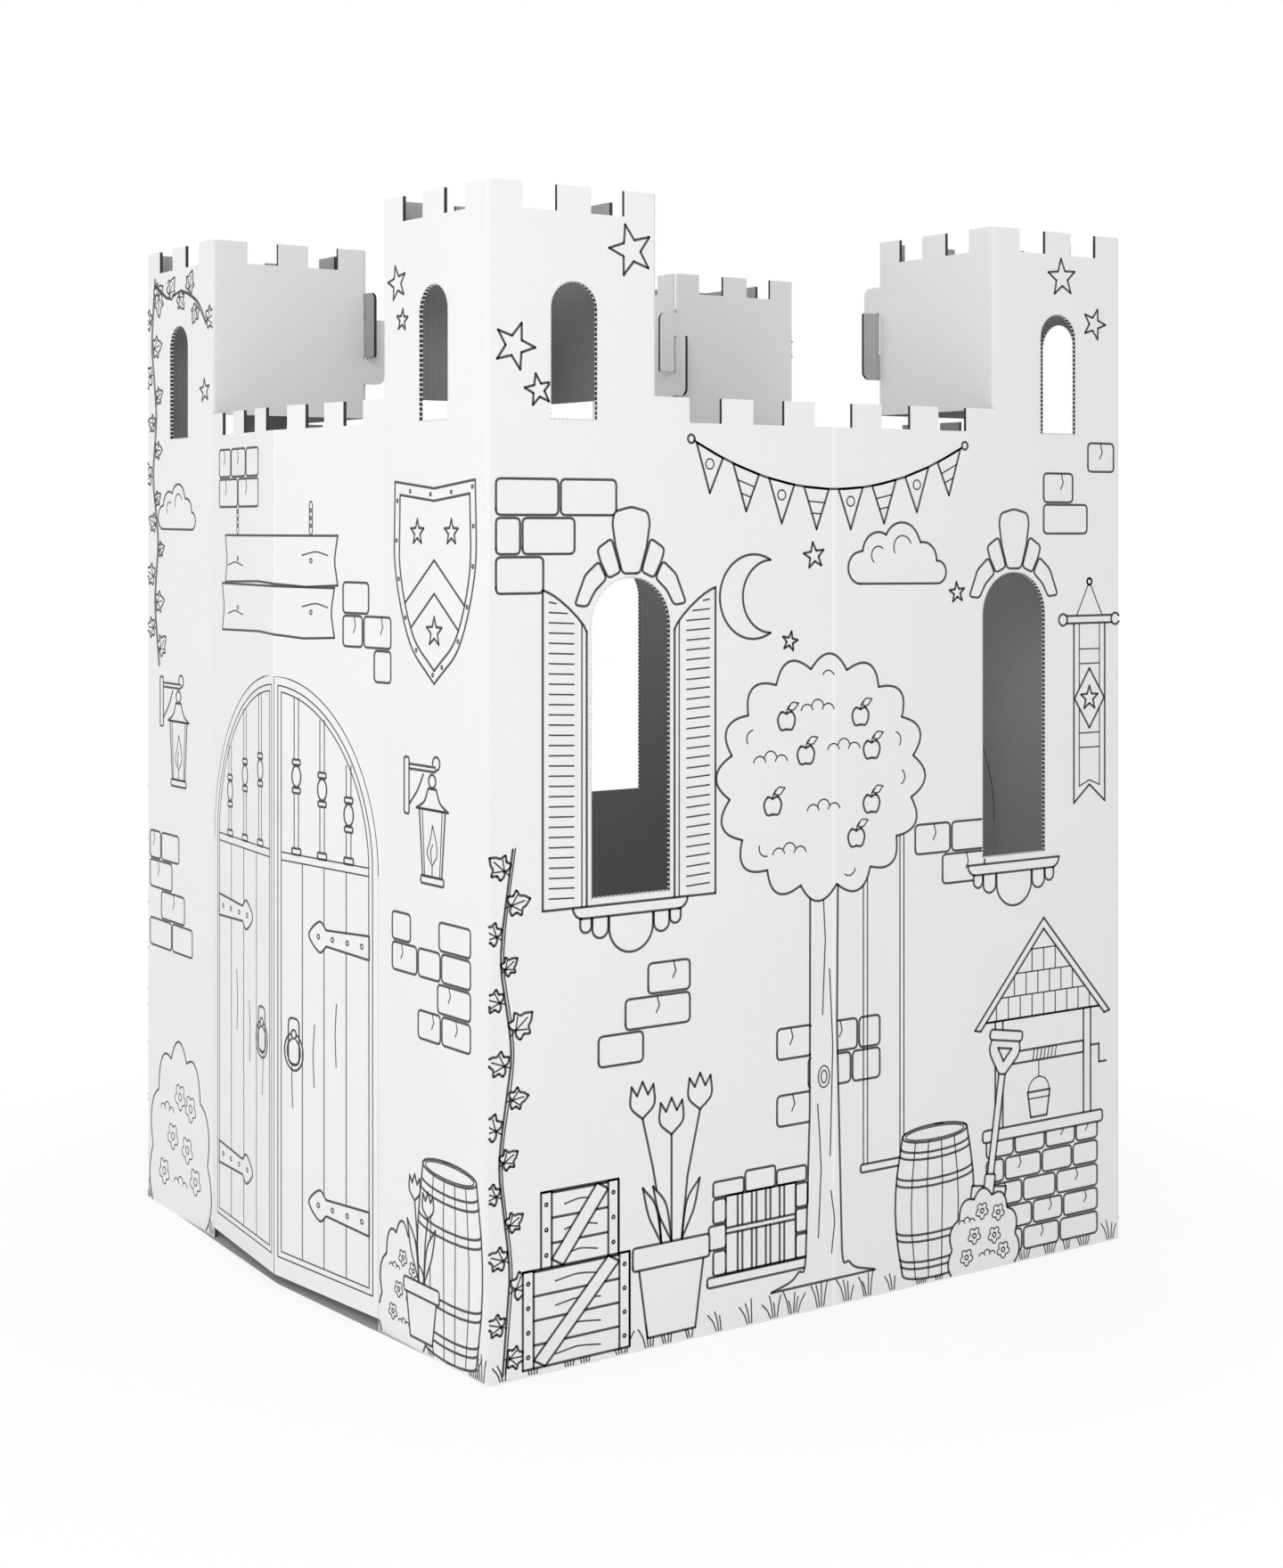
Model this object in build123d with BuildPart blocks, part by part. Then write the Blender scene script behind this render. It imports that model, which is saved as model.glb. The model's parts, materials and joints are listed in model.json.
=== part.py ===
from build123d import *
import os

# A child's play castle of white-faced corrugated board, about chest high to a child.
# One die-cut sheet is folded round into four walls and closed by a glue lap in a far corner.
# The ends of each wall stand up as tower faces. A flap at each tower face's inner edge folds
# back to make the tower's inner side, and the two flaps of a tower hook into each other.
# Origin: on the floor at the middle of the footprint. +Z is up, the front doors face -Y.

# Board, folds and cuts
board = 4.0  # outside liner to inside liner
fold_radius = 5.0  # outside of a folded corner
kerf = 1.5  # die-cut line round a door leaf
fold_gap = 0.4  # scored line on which a door leaf swings
slip = 1.0  # play between two flaps that hook together
overshoot = 1.0  # how far a cutting shape runs past the board

# Walls
door_wall_width = 850.0  # front and back
window_wall_width = 900.0  # left and right
castle_height = 1220.0
door_bow = 28.0  # the front wall stands out this far at its middle crease
tower_bow = 5.0  # and this far where its towers end
crease_width = 6.0  # score pressed into the inside of a wall, so the castle folds flat
crease_depth = 0.8
lap_width = 35.0  # glue lap inside the hidden corner
lap_taper = 12.0

# Battlements
tower_rise = 214.0  # a tower above the wall beside it
notch_depth = 27.0
tower_face = 209.0  # width of a tower
tower_notches = 2  # notches across a tower face, with a tooth on each side of each
wall_notches = 2  # notches between a tower and the wide one at the crease
crease_notch = 54.0  # the wide notch at the middle of a wall

# Windows and doors
tower_window_width = 57.0
tower_window_rise = 114.0  # sill to the spring of the round head
wall_window_width = 100.0
wall_window_rise = 283.0
wall_window_drop = 191.0  # from the top of the wall to the top of the window
wall_window_inset = 176.0  # from the wall's end to the window's middle
doorway_width = 416.0
doorway_rise = 490.0  # floor to the spring of the arch
leaf_clearance = 12.0  # under a door leaf

# Hooks on the tower flaps
hook_rise = 44.0  # from the top of the wall to the underside of a hook
hook_height = 115.0
hook_neck = 32.0
hook_reach = 25.0  # past the tower's inner corner
hook_round = 10.0
hook_corner = 3.0

# Places that follow from the sizes
x_side = door_wall_width / 2
y_back = (window_wall_width + door_bow) / 2
y_front = y_back - window_wall_width
y_middle = (y_front + y_back) / 2
x_tower = x_side - tower_face
wall_top = castle_height - tower_rise  # top of a wall between its towers
wall_window_sill = wall_top - wall_window_drop - wall_window_width / 2 - wall_window_rise
notch_floor = wall_top - notch_depth
tower_notch_floor = castle_height - notch_depth
doorway_top = doorway_rise + doorway_width / 2
hook_bottom = wall_top + hook_rise
hook_top = hook_bottom + hook_height
corner_gap = board + slip
across = door_wall_width + window_wall_width  # longer than the castle is wide or deep


def hollow(folds):
    """Round the folded corners of the face being drawn, then leave only its board."""
    fillet(folds, fold_radius)
    offset(amount=-board, kind=Kind.INTERSECTION, mode=Mode.SUBTRACT)


def four_walls():
    """The closed band of board from above: the front wall stands out a little at its crease."""
    with BuildSketch() as plan:
        with BuildLine():
            Polyline(
                (-x_side, y_front),
                (-x_tower, y_front - tower_bow),
                (0, y_front - door_bow),
                (x_tower, y_front - tower_bow),
                (x_side, y_front),
                (x_side, y_back),
                (-x_side, y_back),
                close=True,
            )
        make_face()
        hollow(plan.vertices().filter_by(lambda v: abs(v.X) > x_side - overshoot))
    return plan.sketch


def side_elevation(x):
    """The plane of a side wall's elevation, with its middle at the wall's middle."""
    return Plane(origin=(x, y_middle, 0), x_dir=(0, 1, 0), z_dir=(1, 0, 0))


def round_headed(middle, sill, rise, width):
    """A window or doorway with a half-round head, in elevation."""
    with Locations((middle, sill)):
        Rectangle(width, rise, align=(Align.CENTER, Align.MIN))
    with Locations((middle, sill + rise)):
        Circle(width / 2)


def notch(middle, width, floor):
    """One square gap of the battlements, in elevation."""
    with Locations((middle, floor)):
        Rectangle(width, notch_depth + overshoot, align=(Align.CENTER, Align.MIN))


def battlements(wall_width):
    """All the gaps along one wall, its two towers included, in elevation."""
    span = wall_width / 2 - tower_face
    tooth = (span - crease_notch / 2) / (2 * wall_notches + 1)
    tower_tooth = tower_face / (2 * tower_notches + 1)
    notch(0, crease_notch, notch_floor)
    for side in (-1, 1):
        for step in range(wall_notches):
            notch(side * (span - (2 * step + 1.5) * tooth), tooth, notch_floor)
        for step in range(tower_notches):
            notch(side * (span + (2 * step + 1.5) * tower_tooth), tower_tooth, tower_notch_floor)


def tower_windows(wall_width):
    """The round-headed window in the face of each tower, in elevation."""
    for side in (-1, 1):
        middle = side * (wall_width - tower_face) / 2
        round_headed(middle, notch_floor, tower_window_rise, tower_window_width)


def hook(upper):
    """A flap's hook in elevation: local X runs past the corner, local Y is up."""
    flip = 1 if upper else -1
    root = -corner_gap - slip
    tip = hook_bottom + hook_neck + slip
    middle = (hook_top + hook_bottom) / 2
    outline = [
        (root, hook_top),
        (hook_reach, hook_top),
        (hook_reach, tip),
        (slip, tip),
        (slip, hook_top - hook_neck),
        (root, hook_top - hook_neck),
    ]
    with BuildSketch() as shape:
        with BuildLine():
            Polyline(*[(u, middle + flip * (z - middle)) for u, z in outline], close=True)
        make_face()
        ends = shape.vertices().filter_by(lambda v: v.X > hook_reach - overshoot).sort_by(Axis.Y)
        fillet(ends[-1] if upper else ends[0], hook_round)
        tips = shape.vertices().filter_by(lambda v: v.X > 0).sort_by(Axis.Y)
        fillet(tips[:2] if upper else tips[-2:], hook_corner)
    return shape.sketch


# The folded sheet
with BuildPart() as castle_shell:
    extrude(four_walls(), amount=wall_top)

    # Tower faces and the flaps folded back from them
    for side in (-1, 1):
        for end, y_wall, lean in ((-1, y_front, -tower_bow), (1, y_back, 0)):
            inner = (side * x_tower, y_wall - end * tower_face)
            with BuildSketch(Plane.XY.offset(wall_top)) as tower_plan:
                with BuildLine():
                    Polyline(
                        (side * x_side, y_wall),
                        (side * x_tower, y_wall + lean),
                        inner,
                        (side * x_side, inner[1]),
                        close=True,
                    )
                make_face()
                folds = tower_plan.vertices().sort_by_distance((inner[0], inner[1], 0))[1:]
                hollow(folds)
                # The flaps stop short of each other at the tower's inner corner
                with Locations((inner[0] + side * corner_gap / 2, inner[1] + end * corner_gap / 2)):
                    Rectangle(corner_gap, corner_gap, mode=Mode.SUBTRACT)
            extrude(amount=castle_height - wall_top)

    # Battlements, doorways and side windows go straight through both walls of a pair
    with BuildSketch(Plane.XZ):
        battlements(door_wall_width)
        round_headed(0, -overshoot, doorway_rise + overshoot, doorway_width)
    extrude(amount=across, both=True, mode=Mode.SUBTRACT)
    with BuildSketch(side_elevation(0)):
        battlements(window_wall_width)
        for side in (-1, 1):
            middle = side * (window_wall_width / 2 - wall_window_inset)
            round_headed(middle, wall_window_sill, wall_window_rise, wall_window_width)
    extrude(amount=across, both=True, mode=Mode.SUBTRACT)

    # Tower windows are in the outer faces only
    window_reach = tower_face / 2
    for start, inward in ((y_front - door_bow, -window_reach - door_bow), (y_back, window_reach)):
        with BuildSketch(Plane.XZ.offset(-start)):
            tower_windows(door_wall_width)
        extrude(amount=inward, mode=Mode.SUBTRACT)
    for start, inward in ((-x_side, window_reach), (x_side, -window_reach)):
        with BuildSketch(side_elevation(start)):
            tower_windows(window_wall_width)
        extrude(amount=inward, mode=Mode.SUBTRACT)

    # Scores down the middle of each wall, pressed in from inside
    with BuildSketch():
        for x, y in (
            (x_side - board, y_middle),
            (-x_side + board, y_middle),
            (0, y_back - board),
            (0, y_front - door_bow + board),
        ):
            with Locations((x, y)):
                Rectangle(
                    2 * crease_depth if x else crease_width,
                    crease_width if x else 2 * crease_depth,
                )
    extrude(amount=notch_floor, mode=Mode.SUBTRACT)

    # Hooks: on each tower one flap's hook hangs from above and the other's stands from below
    for side in (-1, 1):
        for end, y_wall in ((-1, y_front), (1, y_back)):
            corner = (side * x_tower, y_wall - end * tower_face, 0)
            with BuildSketch(Plane(origin=corner, x_dir=(0, -end, 0), z_dir=(-end, 0, 0))):
                add(hook(upper=side * end < 0))
            extrude(amount=-side * end * board)
            with BuildSketch(Plane(origin=corner, x_dir=(-side, 0, 0), z_dir=(0, side, 0))):
                add(hook(upper=side * end > 0))
            extrude(amount=side * end * board)

    # The glue lap inside the far left corner
    with BuildSketch(Plane.YZ.offset(-x_side + board)):
        with BuildLine():
            Polyline(
                (y_back - board, 0),
                (y_back - board, notch_floor),
                (y_back - board - lap_width, notch_floor - lap_taper),
                (y_back - board - lap_width, lap_taper),
                close=True,
            )
        make_face()
    extrude(amount=board)
castle_shell.part.label = "castle_shell"

# Door leaves: cut from the wall all round but for the scored line on which each one swings
leaves = {}
for name, side, end in (
    ("front_door_left", -1, -1),
    ("front_door_right", 1, -1),
    ("back_door_left", 1, 1),
    ("back_door_right", -1, 1),
):
    with BuildPart() as leaf:
        extrude(four_walls(), amount=doorway_top)
        with BuildSketch(Plane.XZ):
            with Locations((0, doorway_rise)):
                Circle(doorway_width / 2 - kerf)
            with Locations((0, leaf_clearance)):
                Rectangle(
                    doorway_width - 2 * fold_gap,
                    doorway_rise - leaf_clearance,
                    align=(Align.CENTER, Align.MIN),
                )
            # Keep this leaf's half, up to its share of the cut between the leaves
            with Locations((side * kerf / 2, leaf_clearance)):
                Rectangle(
                    doorway_width,
                    doorway_top,
                    align=(Align.MIN if side > 0 else Align.MAX, Align.MIN),
                    mode=Mode.INTERSECT,
                )
        extrude(amount=-end * across, mode=Mode.INTERSECT)
    leaf.part.label = name
    leaves[name] = leaf.part

os.makedirs("parts", exist_ok=True)
export_step(castle_shell.part, "parts/castle_shell.step")
for name, piece in leaves.items():
    export_step(piece, f"parts/{name}.step")
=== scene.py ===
"""Looks of a folded play castle of white-faced corrugated board, with a line print to colour in.

The sheet is white clay-coated liner outside and grey liner inside, with the fluting open at every cut
edge. Each wall and each door leaf carries its own print of dark grey lines. Flat sizes are in
millimetres: "along" runs to the right as someone outside the wall sees it, from the wall's middle,
and "up" runs from the floor.
"""

import json
import logging
import math
from contextlib import contextmanager
from dataclasses import dataclass, field
from enum import Enum
from typing import Callable, Iterator

import bmesh
import bpy
import numpy as np
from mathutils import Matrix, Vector


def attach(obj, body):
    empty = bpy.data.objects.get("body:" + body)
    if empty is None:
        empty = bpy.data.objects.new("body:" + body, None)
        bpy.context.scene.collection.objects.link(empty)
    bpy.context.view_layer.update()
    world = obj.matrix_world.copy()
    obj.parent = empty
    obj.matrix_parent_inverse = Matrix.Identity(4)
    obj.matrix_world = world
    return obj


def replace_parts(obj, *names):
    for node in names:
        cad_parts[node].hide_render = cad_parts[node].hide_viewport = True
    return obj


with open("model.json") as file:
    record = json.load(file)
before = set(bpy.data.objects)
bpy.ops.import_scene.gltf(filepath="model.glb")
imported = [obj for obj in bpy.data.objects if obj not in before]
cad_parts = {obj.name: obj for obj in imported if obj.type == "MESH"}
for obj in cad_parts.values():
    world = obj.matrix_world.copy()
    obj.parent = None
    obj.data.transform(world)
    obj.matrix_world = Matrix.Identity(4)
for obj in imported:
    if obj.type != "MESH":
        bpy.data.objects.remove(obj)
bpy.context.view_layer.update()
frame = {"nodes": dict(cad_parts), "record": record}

logging.basicConfig(level=logging.INFO, format="%(message)s")
log = logging.getLogger("castle")

MM = 0.001
SHELL = "castle_shell"
STEP = 1.0  # spacing of the points along a drawn line, before the plain ones are dropped
FLUTE = 7.5  # pitch of the board's fluting
Place = tuple[float, float]
Points = np.ndarray  # mostly rows of along and up
NodeTree = bpy.types.NodeTree
Socket = bpy.types.NodeSocket
Layers = list[tuple[Socket, str]]  # the share that each one covers, and its colour
Values = dict[str, float | int | bpy.types.Material]


# Sizes of the sheet

class Wall(Enum):
    """The four walls, by the way each one faces."""

    FRONT = "front"
    RIGHT = "right"
    BACK = "back"
    LEFT = "left"

    @property
    def has_doors(self) -> bool:
        """Tells a wall with the double doors from one with the two windows."""
        return self in (Wall.FRONT, Wall.BACK)


@dataclass(frozen=True)
class CastlePlan:
    """The sheet's driving sizes, in millimetres, and where a flat place on a wall stands in the castle."""

    board: float = 4.0
    door_wall: float = 850.0
    window_wall: float = 900.0
    height: float = 1220.0
    door_bow: float = 28.0
    tower_bow: float = 5.0
    wall_top: float = 1006.0
    notch_depth: float = 27.0
    tower_face: float = 209.0
    tower_notches: int = 2
    wall_notches: int = 2
    crease_notch: float = 54.0
    tower_window_width: float = 57.0
    tower_window_rise: float = 114.0
    side_window_width: float = 100.0
    side_window_sill: float = 482.0
    side_window_rise: float = 283.0
    side_window_inset: float = 176.0
    doorway_width: float = 416.0
    doorway_rise: float = 490.0
    leaf_clearance: float = 12.0
    kerf: float = 1.5

    @property
    def x_side(self) -> float:
        """Half the castle's width."""
        return self.door_wall / 2

    @property
    def y_back(self) -> float:
        """How far behind the origin the back wall stands."""
        return (self.window_wall + self.door_bow) / 2

    @property
    def y_front(self) -> float:
        """Where the front wall's two ends stand."""
        return self.y_back - self.window_wall

    @property
    def y_middle(self) -> float:
        """Half-way between the front corners and the back ones."""
        return (self.y_front + self.y_back) / 2

    def width(self, wall: Wall) -> float:
        """The wall's width from corner to corner."""
        return self.door_wall if wall.has_doors else self.window_wall

    def bow(self, x: Points) -> Points:
        """How far the front wall stands out at places across the castle, most at its middle crease."""
        places = (0, self.x_side - self.tower_face, self.x_side)
        return np.interp(np.abs(x), places, (self.door_bow, self.tower_bow, 0))

    def place(self, wall: Wall, flat: Points) -> Points:
        """Stands flat places up on a wall.

        Args:
            wall: the wall that they belong to.
            flat: rows of along, up and how far the place is proud of the board.
        Returns:
            Rows of x, y and z, still in millimetres.
        """
        along, up, proud = flat.T
        if wall is Wall.FRONT:
            return np.c_[along, self.y_front - self.bow(along) - proud, up]
        if wall is Wall.BACK:
            return np.c_[-along, self.y_back + proud, up]
        side = 1 if wall is Wall.RIGHT else -1
        return np.c_[side * (self.x_side + proud), self.y_middle + side * along, up]

    def windows(self, wall: Wall) -> list[tuple[float, float, float, float]]:
        """The round-headed windows of a wall.

        Args:
            wall: the wall.
        Returns:
            For each one its middle, sill, rise to the spring of the head, and width.
        """
        middle = (self.width(wall) - self.tower_face) / 2
        sizes = (self.wall_top - self.notch_depth, self.tower_window_rise, self.tower_window_width)
        found = [(-middle, *sizes), (middle, *sizes)]
        if not wall.has_doors:
            middle = self.window_wall / 2 - self.side_window_inset
            sizes = (self.side_window_sill, self.side_window_rise, self.side_window_width)
            found += [(-middle, *sizes), (middle, *sizes)]
        return found

    def top_edge(self, wall: Wall, along: Points) -> Points:
        """How high the board stands at each place along a wall, with the battlements' gaps.

        Args:
            wall: the wall.
            along: places along it.
        Returns:
            The heights.
        """
        span = self.width(wall) / 2 - self.tower_face
        reach = np.abs(along)
        notched = reach < self.crease_notch / 2
        for gaps, width, way in (
            (self.wall_notches, span - self.crease_notch / 2, -1), (self.tower_notches, self.tower_face, 1),
        ):
            tooth = width / (2 * gaps + 1)
            for step in range(gaps):
                notched |= np.abs(reach - span - way * (2 * step + 1.5) * tooth) < tooth / 2
        return np.where(reach > span, self.height, self.wall_top) - np.where(notched, self.notch_depth, 0)


PLAN = CastlePlan()


# Small helpers

def linear(code: str) -> tuple[float, float, float, float]:
    """Turns an sRGB hex value into the linear colour that a shader takes.

    Args:
        code: six hex digits with a leading hash.
    Returns:
        Red, green, blue and a full alpha.
    """
    parts = [int(code[i:i + 2], 16) / 255 for i in (1, 3, 5)]
    return (*[p / 12.92 if p <= 0.04045 else ((p + 0.055) / 1.055) ** 2.4 for p in parts], 1.0)


def add_node(tree: NodeTree, kind: str, inputs: dict | None = None, **settings) -> bpy.types.Node:
    """Adds one node to a tree, with its settings, values and links.

    Args:
        tree: the tree that it goes into.
        kind: the node's type.
        inputs: by socket name or number, a value or the output socket to link from.
        settings: attributes of the node.
    Returns:
        The new node.
    """
    node = tree.nodes.new(kind)
    for name, value in settings.items():
        setattr(node, name, value)
    for key, value in (inputs or {}).items():
        if isinstance(value, Socket):
            tree.links.new(value, node.inputs[key])
        else:
            node.inputs[key].default_value = value
    return node


def in_sight(tree: NodeTree) -> Socket:
    """Adds the nodes that tell what the eye sees, also in a gloss or through a pane, from what only lights.

    Args:
        tree: the nodes of a material or of the world.
    Returns:
        A socket that is 1 for what the eye sees.
    """
    rays = add_node(tree, "ShaderNodeLightPath").outputs
    seen = rays["Is Camera Ray"]
    for kind in ("Is Glossy Ray", "Is Transmission Ray"):
        seen = add_node(tree, "ShaderNodeMath", {0: seen, 1: rays[kind]}, operation="MAXIMUM").outputs[0]
    return seen


def in_scene(name: str, data: bpy.types.ID) -> bpy.types.Object:
    """Makes an object and links it into the scene.

    Args:
        name: its name.
        data: its mesh, curve, lamp or camera.
    Returns:
        The object.
    """
    thing = bpy.data.objects.new(name, data)
    bpy.context.scene.collection.objects.link(thing)
    return thing


def new_piece(name: str, mesh: bpy.types.Mesh, body: str) -> bpy.types.Object:
    """Puts a finished mesh into the scene and lets it ride on a body of the castle.

    Args:
        name: the piece's name.
        mesh: its mesh, already in place, in metres.
        body: the body that carries it.
    Returns:
        The piece.
    """
    piece = in_scene(name, mesh)
    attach(piece, body)
    log.info("%s: %d faces on %s", name, len(mesh.polygons), body)
    return piece


# Finishes

@dataclass(frozen=True)
class Finish:
    """What every finish of the board has: its lowest colour, how rough and shiny it is, and its bump."""

    name: str
    base: str
    roughness: float = 0.5
    shine: float = 0.5
    bump: float = 0.0
    relief: float = 0.0  # how high the bump really stands

    def textures(self, tree: NodeTree) -> tuple[Layers, Socket | None]:
        """Adds the finish's own nodes.

        Args:
            tree: the material's nodes.
        Returns:
            The layers over the lowest colour, each with the share that it covers and its colour, and the
            height for the bump.
        """
        raise NotImplementedError

    def build(self) -> bpy.types.Material:
        """Makes the material.

        Returns:
            The material.
        """
        material = bpy.data.materials.new(self.name)
        material.use_nodes = True
        tree = material.node_tree
        shader = tree.nodes["Principled BSDF"]
        shader.inputs["Roughness"].default_value = self.roughness
        shader.inputs["Specular IOR Level"].default_value = self.shine
        layers, height = self.textures(tree)
        colour = linear(self.base)
        for share, code in layers:
            inputs = {"Factor": share, "A": colour, "B": linear(code)}
            colour = add_node(tree, "ShaderNodeMix", inputs, data_type="RGBA").outputs["Result"]
        tree.links.new(colour, shader.inputs["Base Color"])
        if height:
            inputs = {"Height": height, "Strength": self.bump, "Distance": self.relief * MM}
            tree.links.new(add_node(tree, "ShaderNodeBump", inputs).outputs[0], shader.inputs["Normal"])
        return material


@dataclass(frozen=True)
class Liner(Finish):
    """Paper laid over fluting: fibres in it, and the flutes showing through as upright bands."""

    flute_pitch: float = FLUTE
    flute_wander: float = 0.6
    flute_share: float = 0.12
    fibre: float = 3.0  # clumps of fibre, drawn coarse enough to show
    fibre_detail: float = 4.0
    fibre_contrast: float = 0.65

    def paper(self, tree: NodeTree) -> tuple[Socket, Socket, Socket, Socket]:
        """Adds the maps and textures that both papers use.

        Args:
            tree: the material's nodes.
        Returns:
            The sheet's own map, the object's coordinates, the flutes and the fibres.
        """
        sheet = add_node(tree, "ShaderNodeUVMap", uv_map="Sheet").outputs[0]
        place = add_node(tree, "ShaderNodeTexCoord").outputs["Object"]
        flutes = add_node(
            tree, "ShaderNodeTexWave",
            {"Vector": sheet, "Scale": math.pi / (10 * self.flute_pitch * MM),
             "Distortion": self.flute_wander, "Detail": 1.0, "Detail Scale": 0.4},
            bands_direction="X",
        )
        fibres = add_node(
            tree, "ShaderNodeTexNoise",
            {"Vector": place, "Scale": 1 / (self.fibre * MM), "Detail": self.fibre_detail,
             "Roughness": self.fibre_contrast},
        )
        return sheet, place, flutes.outputs["Fac"], fibres.outputs["Fac"]


@dataclass(frozen=True)
class CoatedLiner(Liner):
    """White clay-coated paper: smooth and nearly matt, with the flutes showing as a faint upright wash."""

    name: str = "White clay-coated liner"
    base: str = "#EEEEEE"
    roughness: float = 0.62
    shine: float = 0.35
    bump: float = 0.12
    relief: float = 0.06
    shade: str = "#E7E7E7"
    # Paler colour of the band down a wall's middle crease: painted highlight, where the bent board catches
    # the light
    crease: str = "#F2F2F2"
    # A little greyer on the rounded folds: painted shade, which tones down the light that the curve catches
    fold_shade: str = "#E6E6E6"
    crease_half: float = 3.5  # half-width of the painted highlight, a paler band where a wall is creased down its middle
    crease_core: float = 0.4  # share of the band where the painted highlight is at its palest
    cloud: float = 110.0  # size of the slow unevenness of the lamination
    fibre_share: float = 0.45
    cloud_share: float = 0.4
    fibre_height: float = 0.5  # beside the height of the flutes

    def textures(self, tree: NodeTree) -> tuple[Layers, Socket | None]:
        """Adds the mottled white, with a painted highlight as a paler band down a crease and painted shade a
        little greyer on a rounded fold.

        Args:
            tree: the material's nodes.
        Returns:
            The layers and the height.
        """
        sheet, place, flutes, fibres = self.paper(tree)
        inputs = {"Vector": place, "Scale": 1 / (self.cloud * MM), "Detail": 2.0}
        clouds = add_node(tree, "ShaderNodeTexNoise", inputs).outputs["Fac"]
        shares = ((flutes, self.flute_share), (fibres, self.fibre_share), (clouds, self.cloud_share))
        mottle = 0.0
        for texture, share in shares:
            inputs = {0: texture, 1: share, 2: mottle}
            mottle = add_node(tree, "ShaderNodeMath", inputs, operation="MULTIPLY_ADD").outputs[0]
        # Painted highlight: a paler band either side of the wall's middle crease
        along = add_node(tree, "ShaderNodeSeparateXYZ", {0: sheet}).outputs["X"]
        off_crease = add_node(tree, "ShaderNodeMath", {0: along}, operation="ABSOLUTE").outputs[0]
        edge = self.crease_half * MM
        crease = add_node(
            tree, "ShaderNodeMapRange",
            {"Value": off_crease, "From Min": edge, "From Max": self.crease_core * edge},
            interpolation_type="SMOOTHSTEP",
        ).outputs[0]
        # Painted shade on the rounded folds, which the mesh marks
        fold_shade = add_node(tree, "ShaderNodeAttribute", attribute_name="Fold").outputs["Fac"]
        inputs = {0: fibres, 1: self.fibre_height, 2: flutes}
        height = add_node(tree, "ShaderNodeMath", inputs, operation="MULTIPLY_ADD")
        return [(mottle, self.shade), (crease, self.crease), (fold_shade, self.fold_shade)], height.outputs[0]


@dataclass(frozen=True)
class GreyLiner(Liner):
    """Uncoated recycled paper inside: greyer, rougher, specked with short dark and pale fibres."""

    name: str = "Grey recycled liner"
    base: str = "#B6B6B6"
    roughness: float = 0.85
    shine: float = 0.2
    bump: float = 0.35
    relief: float = 0.15
    speck: str = "#9A9A9A"
    specks_from: float = 0.35  # texture values between which a speck darkens
    specks_to: float = 0.95
    flute_wander: float = 0.8
    flute_share: float = 0.14
    fibre: float = 2.4
    fibre_detail: float = 6.0

    def textures(self, tree: NodeTree) -> tuple[Layers, Socket | None]:
        """Adds the specked grey over a faint wash of flutes.

        Args:
            tree: the material's nodes.
        Returns:
            The layers and the height.
        """
        flutes, fibres = self.paper(tree)[2:]
        inputs = {0: flutes, 1: self.flute_share, 2: fibres}
        height = add_node(tree, "ShaderNodeMath", inputs, operation="MULTIPLY_ADD").outputs[0]
        inputs = {"Value": height, "From Min": self.specks_from, "From Max": self.specks_to}
        return [(add_node(tree, "ShaderNodeMapRange", inputs).outputs[0], self.speck)], height


@dataclass(frozen=True)
class CutEdge(Finish):
    """The die-cut edge of single-wall board: two thin liners, the wavy fluting and its dark gaps. The
    liners' edges are painted far greyer than their papers as painted shade, the fluting is partly its own
    grey and partly painted shade, and the gaps are a painted shadow.
    """

    name: str = "Die-cut fluted edge"
    # Near black: painted shadow in the hollow gaps between the flutes
    base: str = "#262626"
    roughness: float = 0.9
    shine: float = 0.1
    # The fluting's grey is partly its own and partly painted shade; the liners' edge is painted shade, far
    # greyer than either paper
    fluting: str = "#545454"
    liner: str = "#606060"
    board: float = PLAN.board
    flute_pitch: float = FLUTE
    # Shares of the board's thickness
    liner_share: float = 0.12
    paper_half: float = 0.14
    wave_half: float = 0.34

    def textures(self, tree: NodeTree) -> tuple[Layers, Socket | None]:
        """Adds the section. Its map runs along the edge and, across, from the outer liner to the inner one.

        Args:
            tree: the material's nodes.
        Returns:
            The layers and no height.
        """
        sheet = add_node(tree, "ShaderNodeUVMap", uv_map="Sheet")
        split = add_node(tree, "ShaderNodeSeparateXYZ", {0: sheet.outputs[0]}).outputs
        known = {"along": split["X"], "across": split["Y"]}
        for name, operation, *values in (
            ("depth", "DIVIDE", "across", self.board * MM),
            ("turn", "MULTIPLY", "along", 2 * math.pi / (self.flute_pitch * MM)),
            ("wave", "SINE", "turn"),
            ("middle", "MULTIPLY_ADD", "wave", self.wave_half, 0.5),
            ("paper", "COMPARE", "depth", "middle", self.paper_half),
            ("off_middle", "SUBTRACT", "depth", 0.5),
            ("away", "ABSOLUTE", "off_middle"),
            ("skin", "GREATER_THAN", "away", 0.5 - self.liner_share),
        ):
            inputs = {number: known.get(value, value) for number, value in enumerate(values)}
            known[name] = add_node(tree, "ShaderNodeMath", inputs, operation=operation).outputs[0]
        return [(known["paper"], self.fluting), (known["skin"], self.liner)], None


@dataclass(frozen=True)
class PrintersInk(Finish):
    """Offset ink on coated paper: dark grey, a little uneven, with a slight gloss over the matt sheet."""

    name: str = "Dark grey offset ink"
    base: str = "#383838"
    thin: str = "#4A4A4A"
    speckle: float = 3.8

    def textures(self, tree: NodeTree) -> tuple[Layers, Socket | None]:
        """Adds the places where the ink is thinner.

        Args:
            tree: the material's nodes.
        Returns:
            The layers and no height.
        """
        place = add_node(tree, "ShaderNodeTexCoord").outputs["Object"]
        inputs = {"Vector": place, "Scale": 1 / (self.speckle * MM), "Detail": 3.0}
        return [(add_node(tree, "ShaderNodeTexNoise", inputs).outputs["Fac"], self.thin)], None


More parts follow.
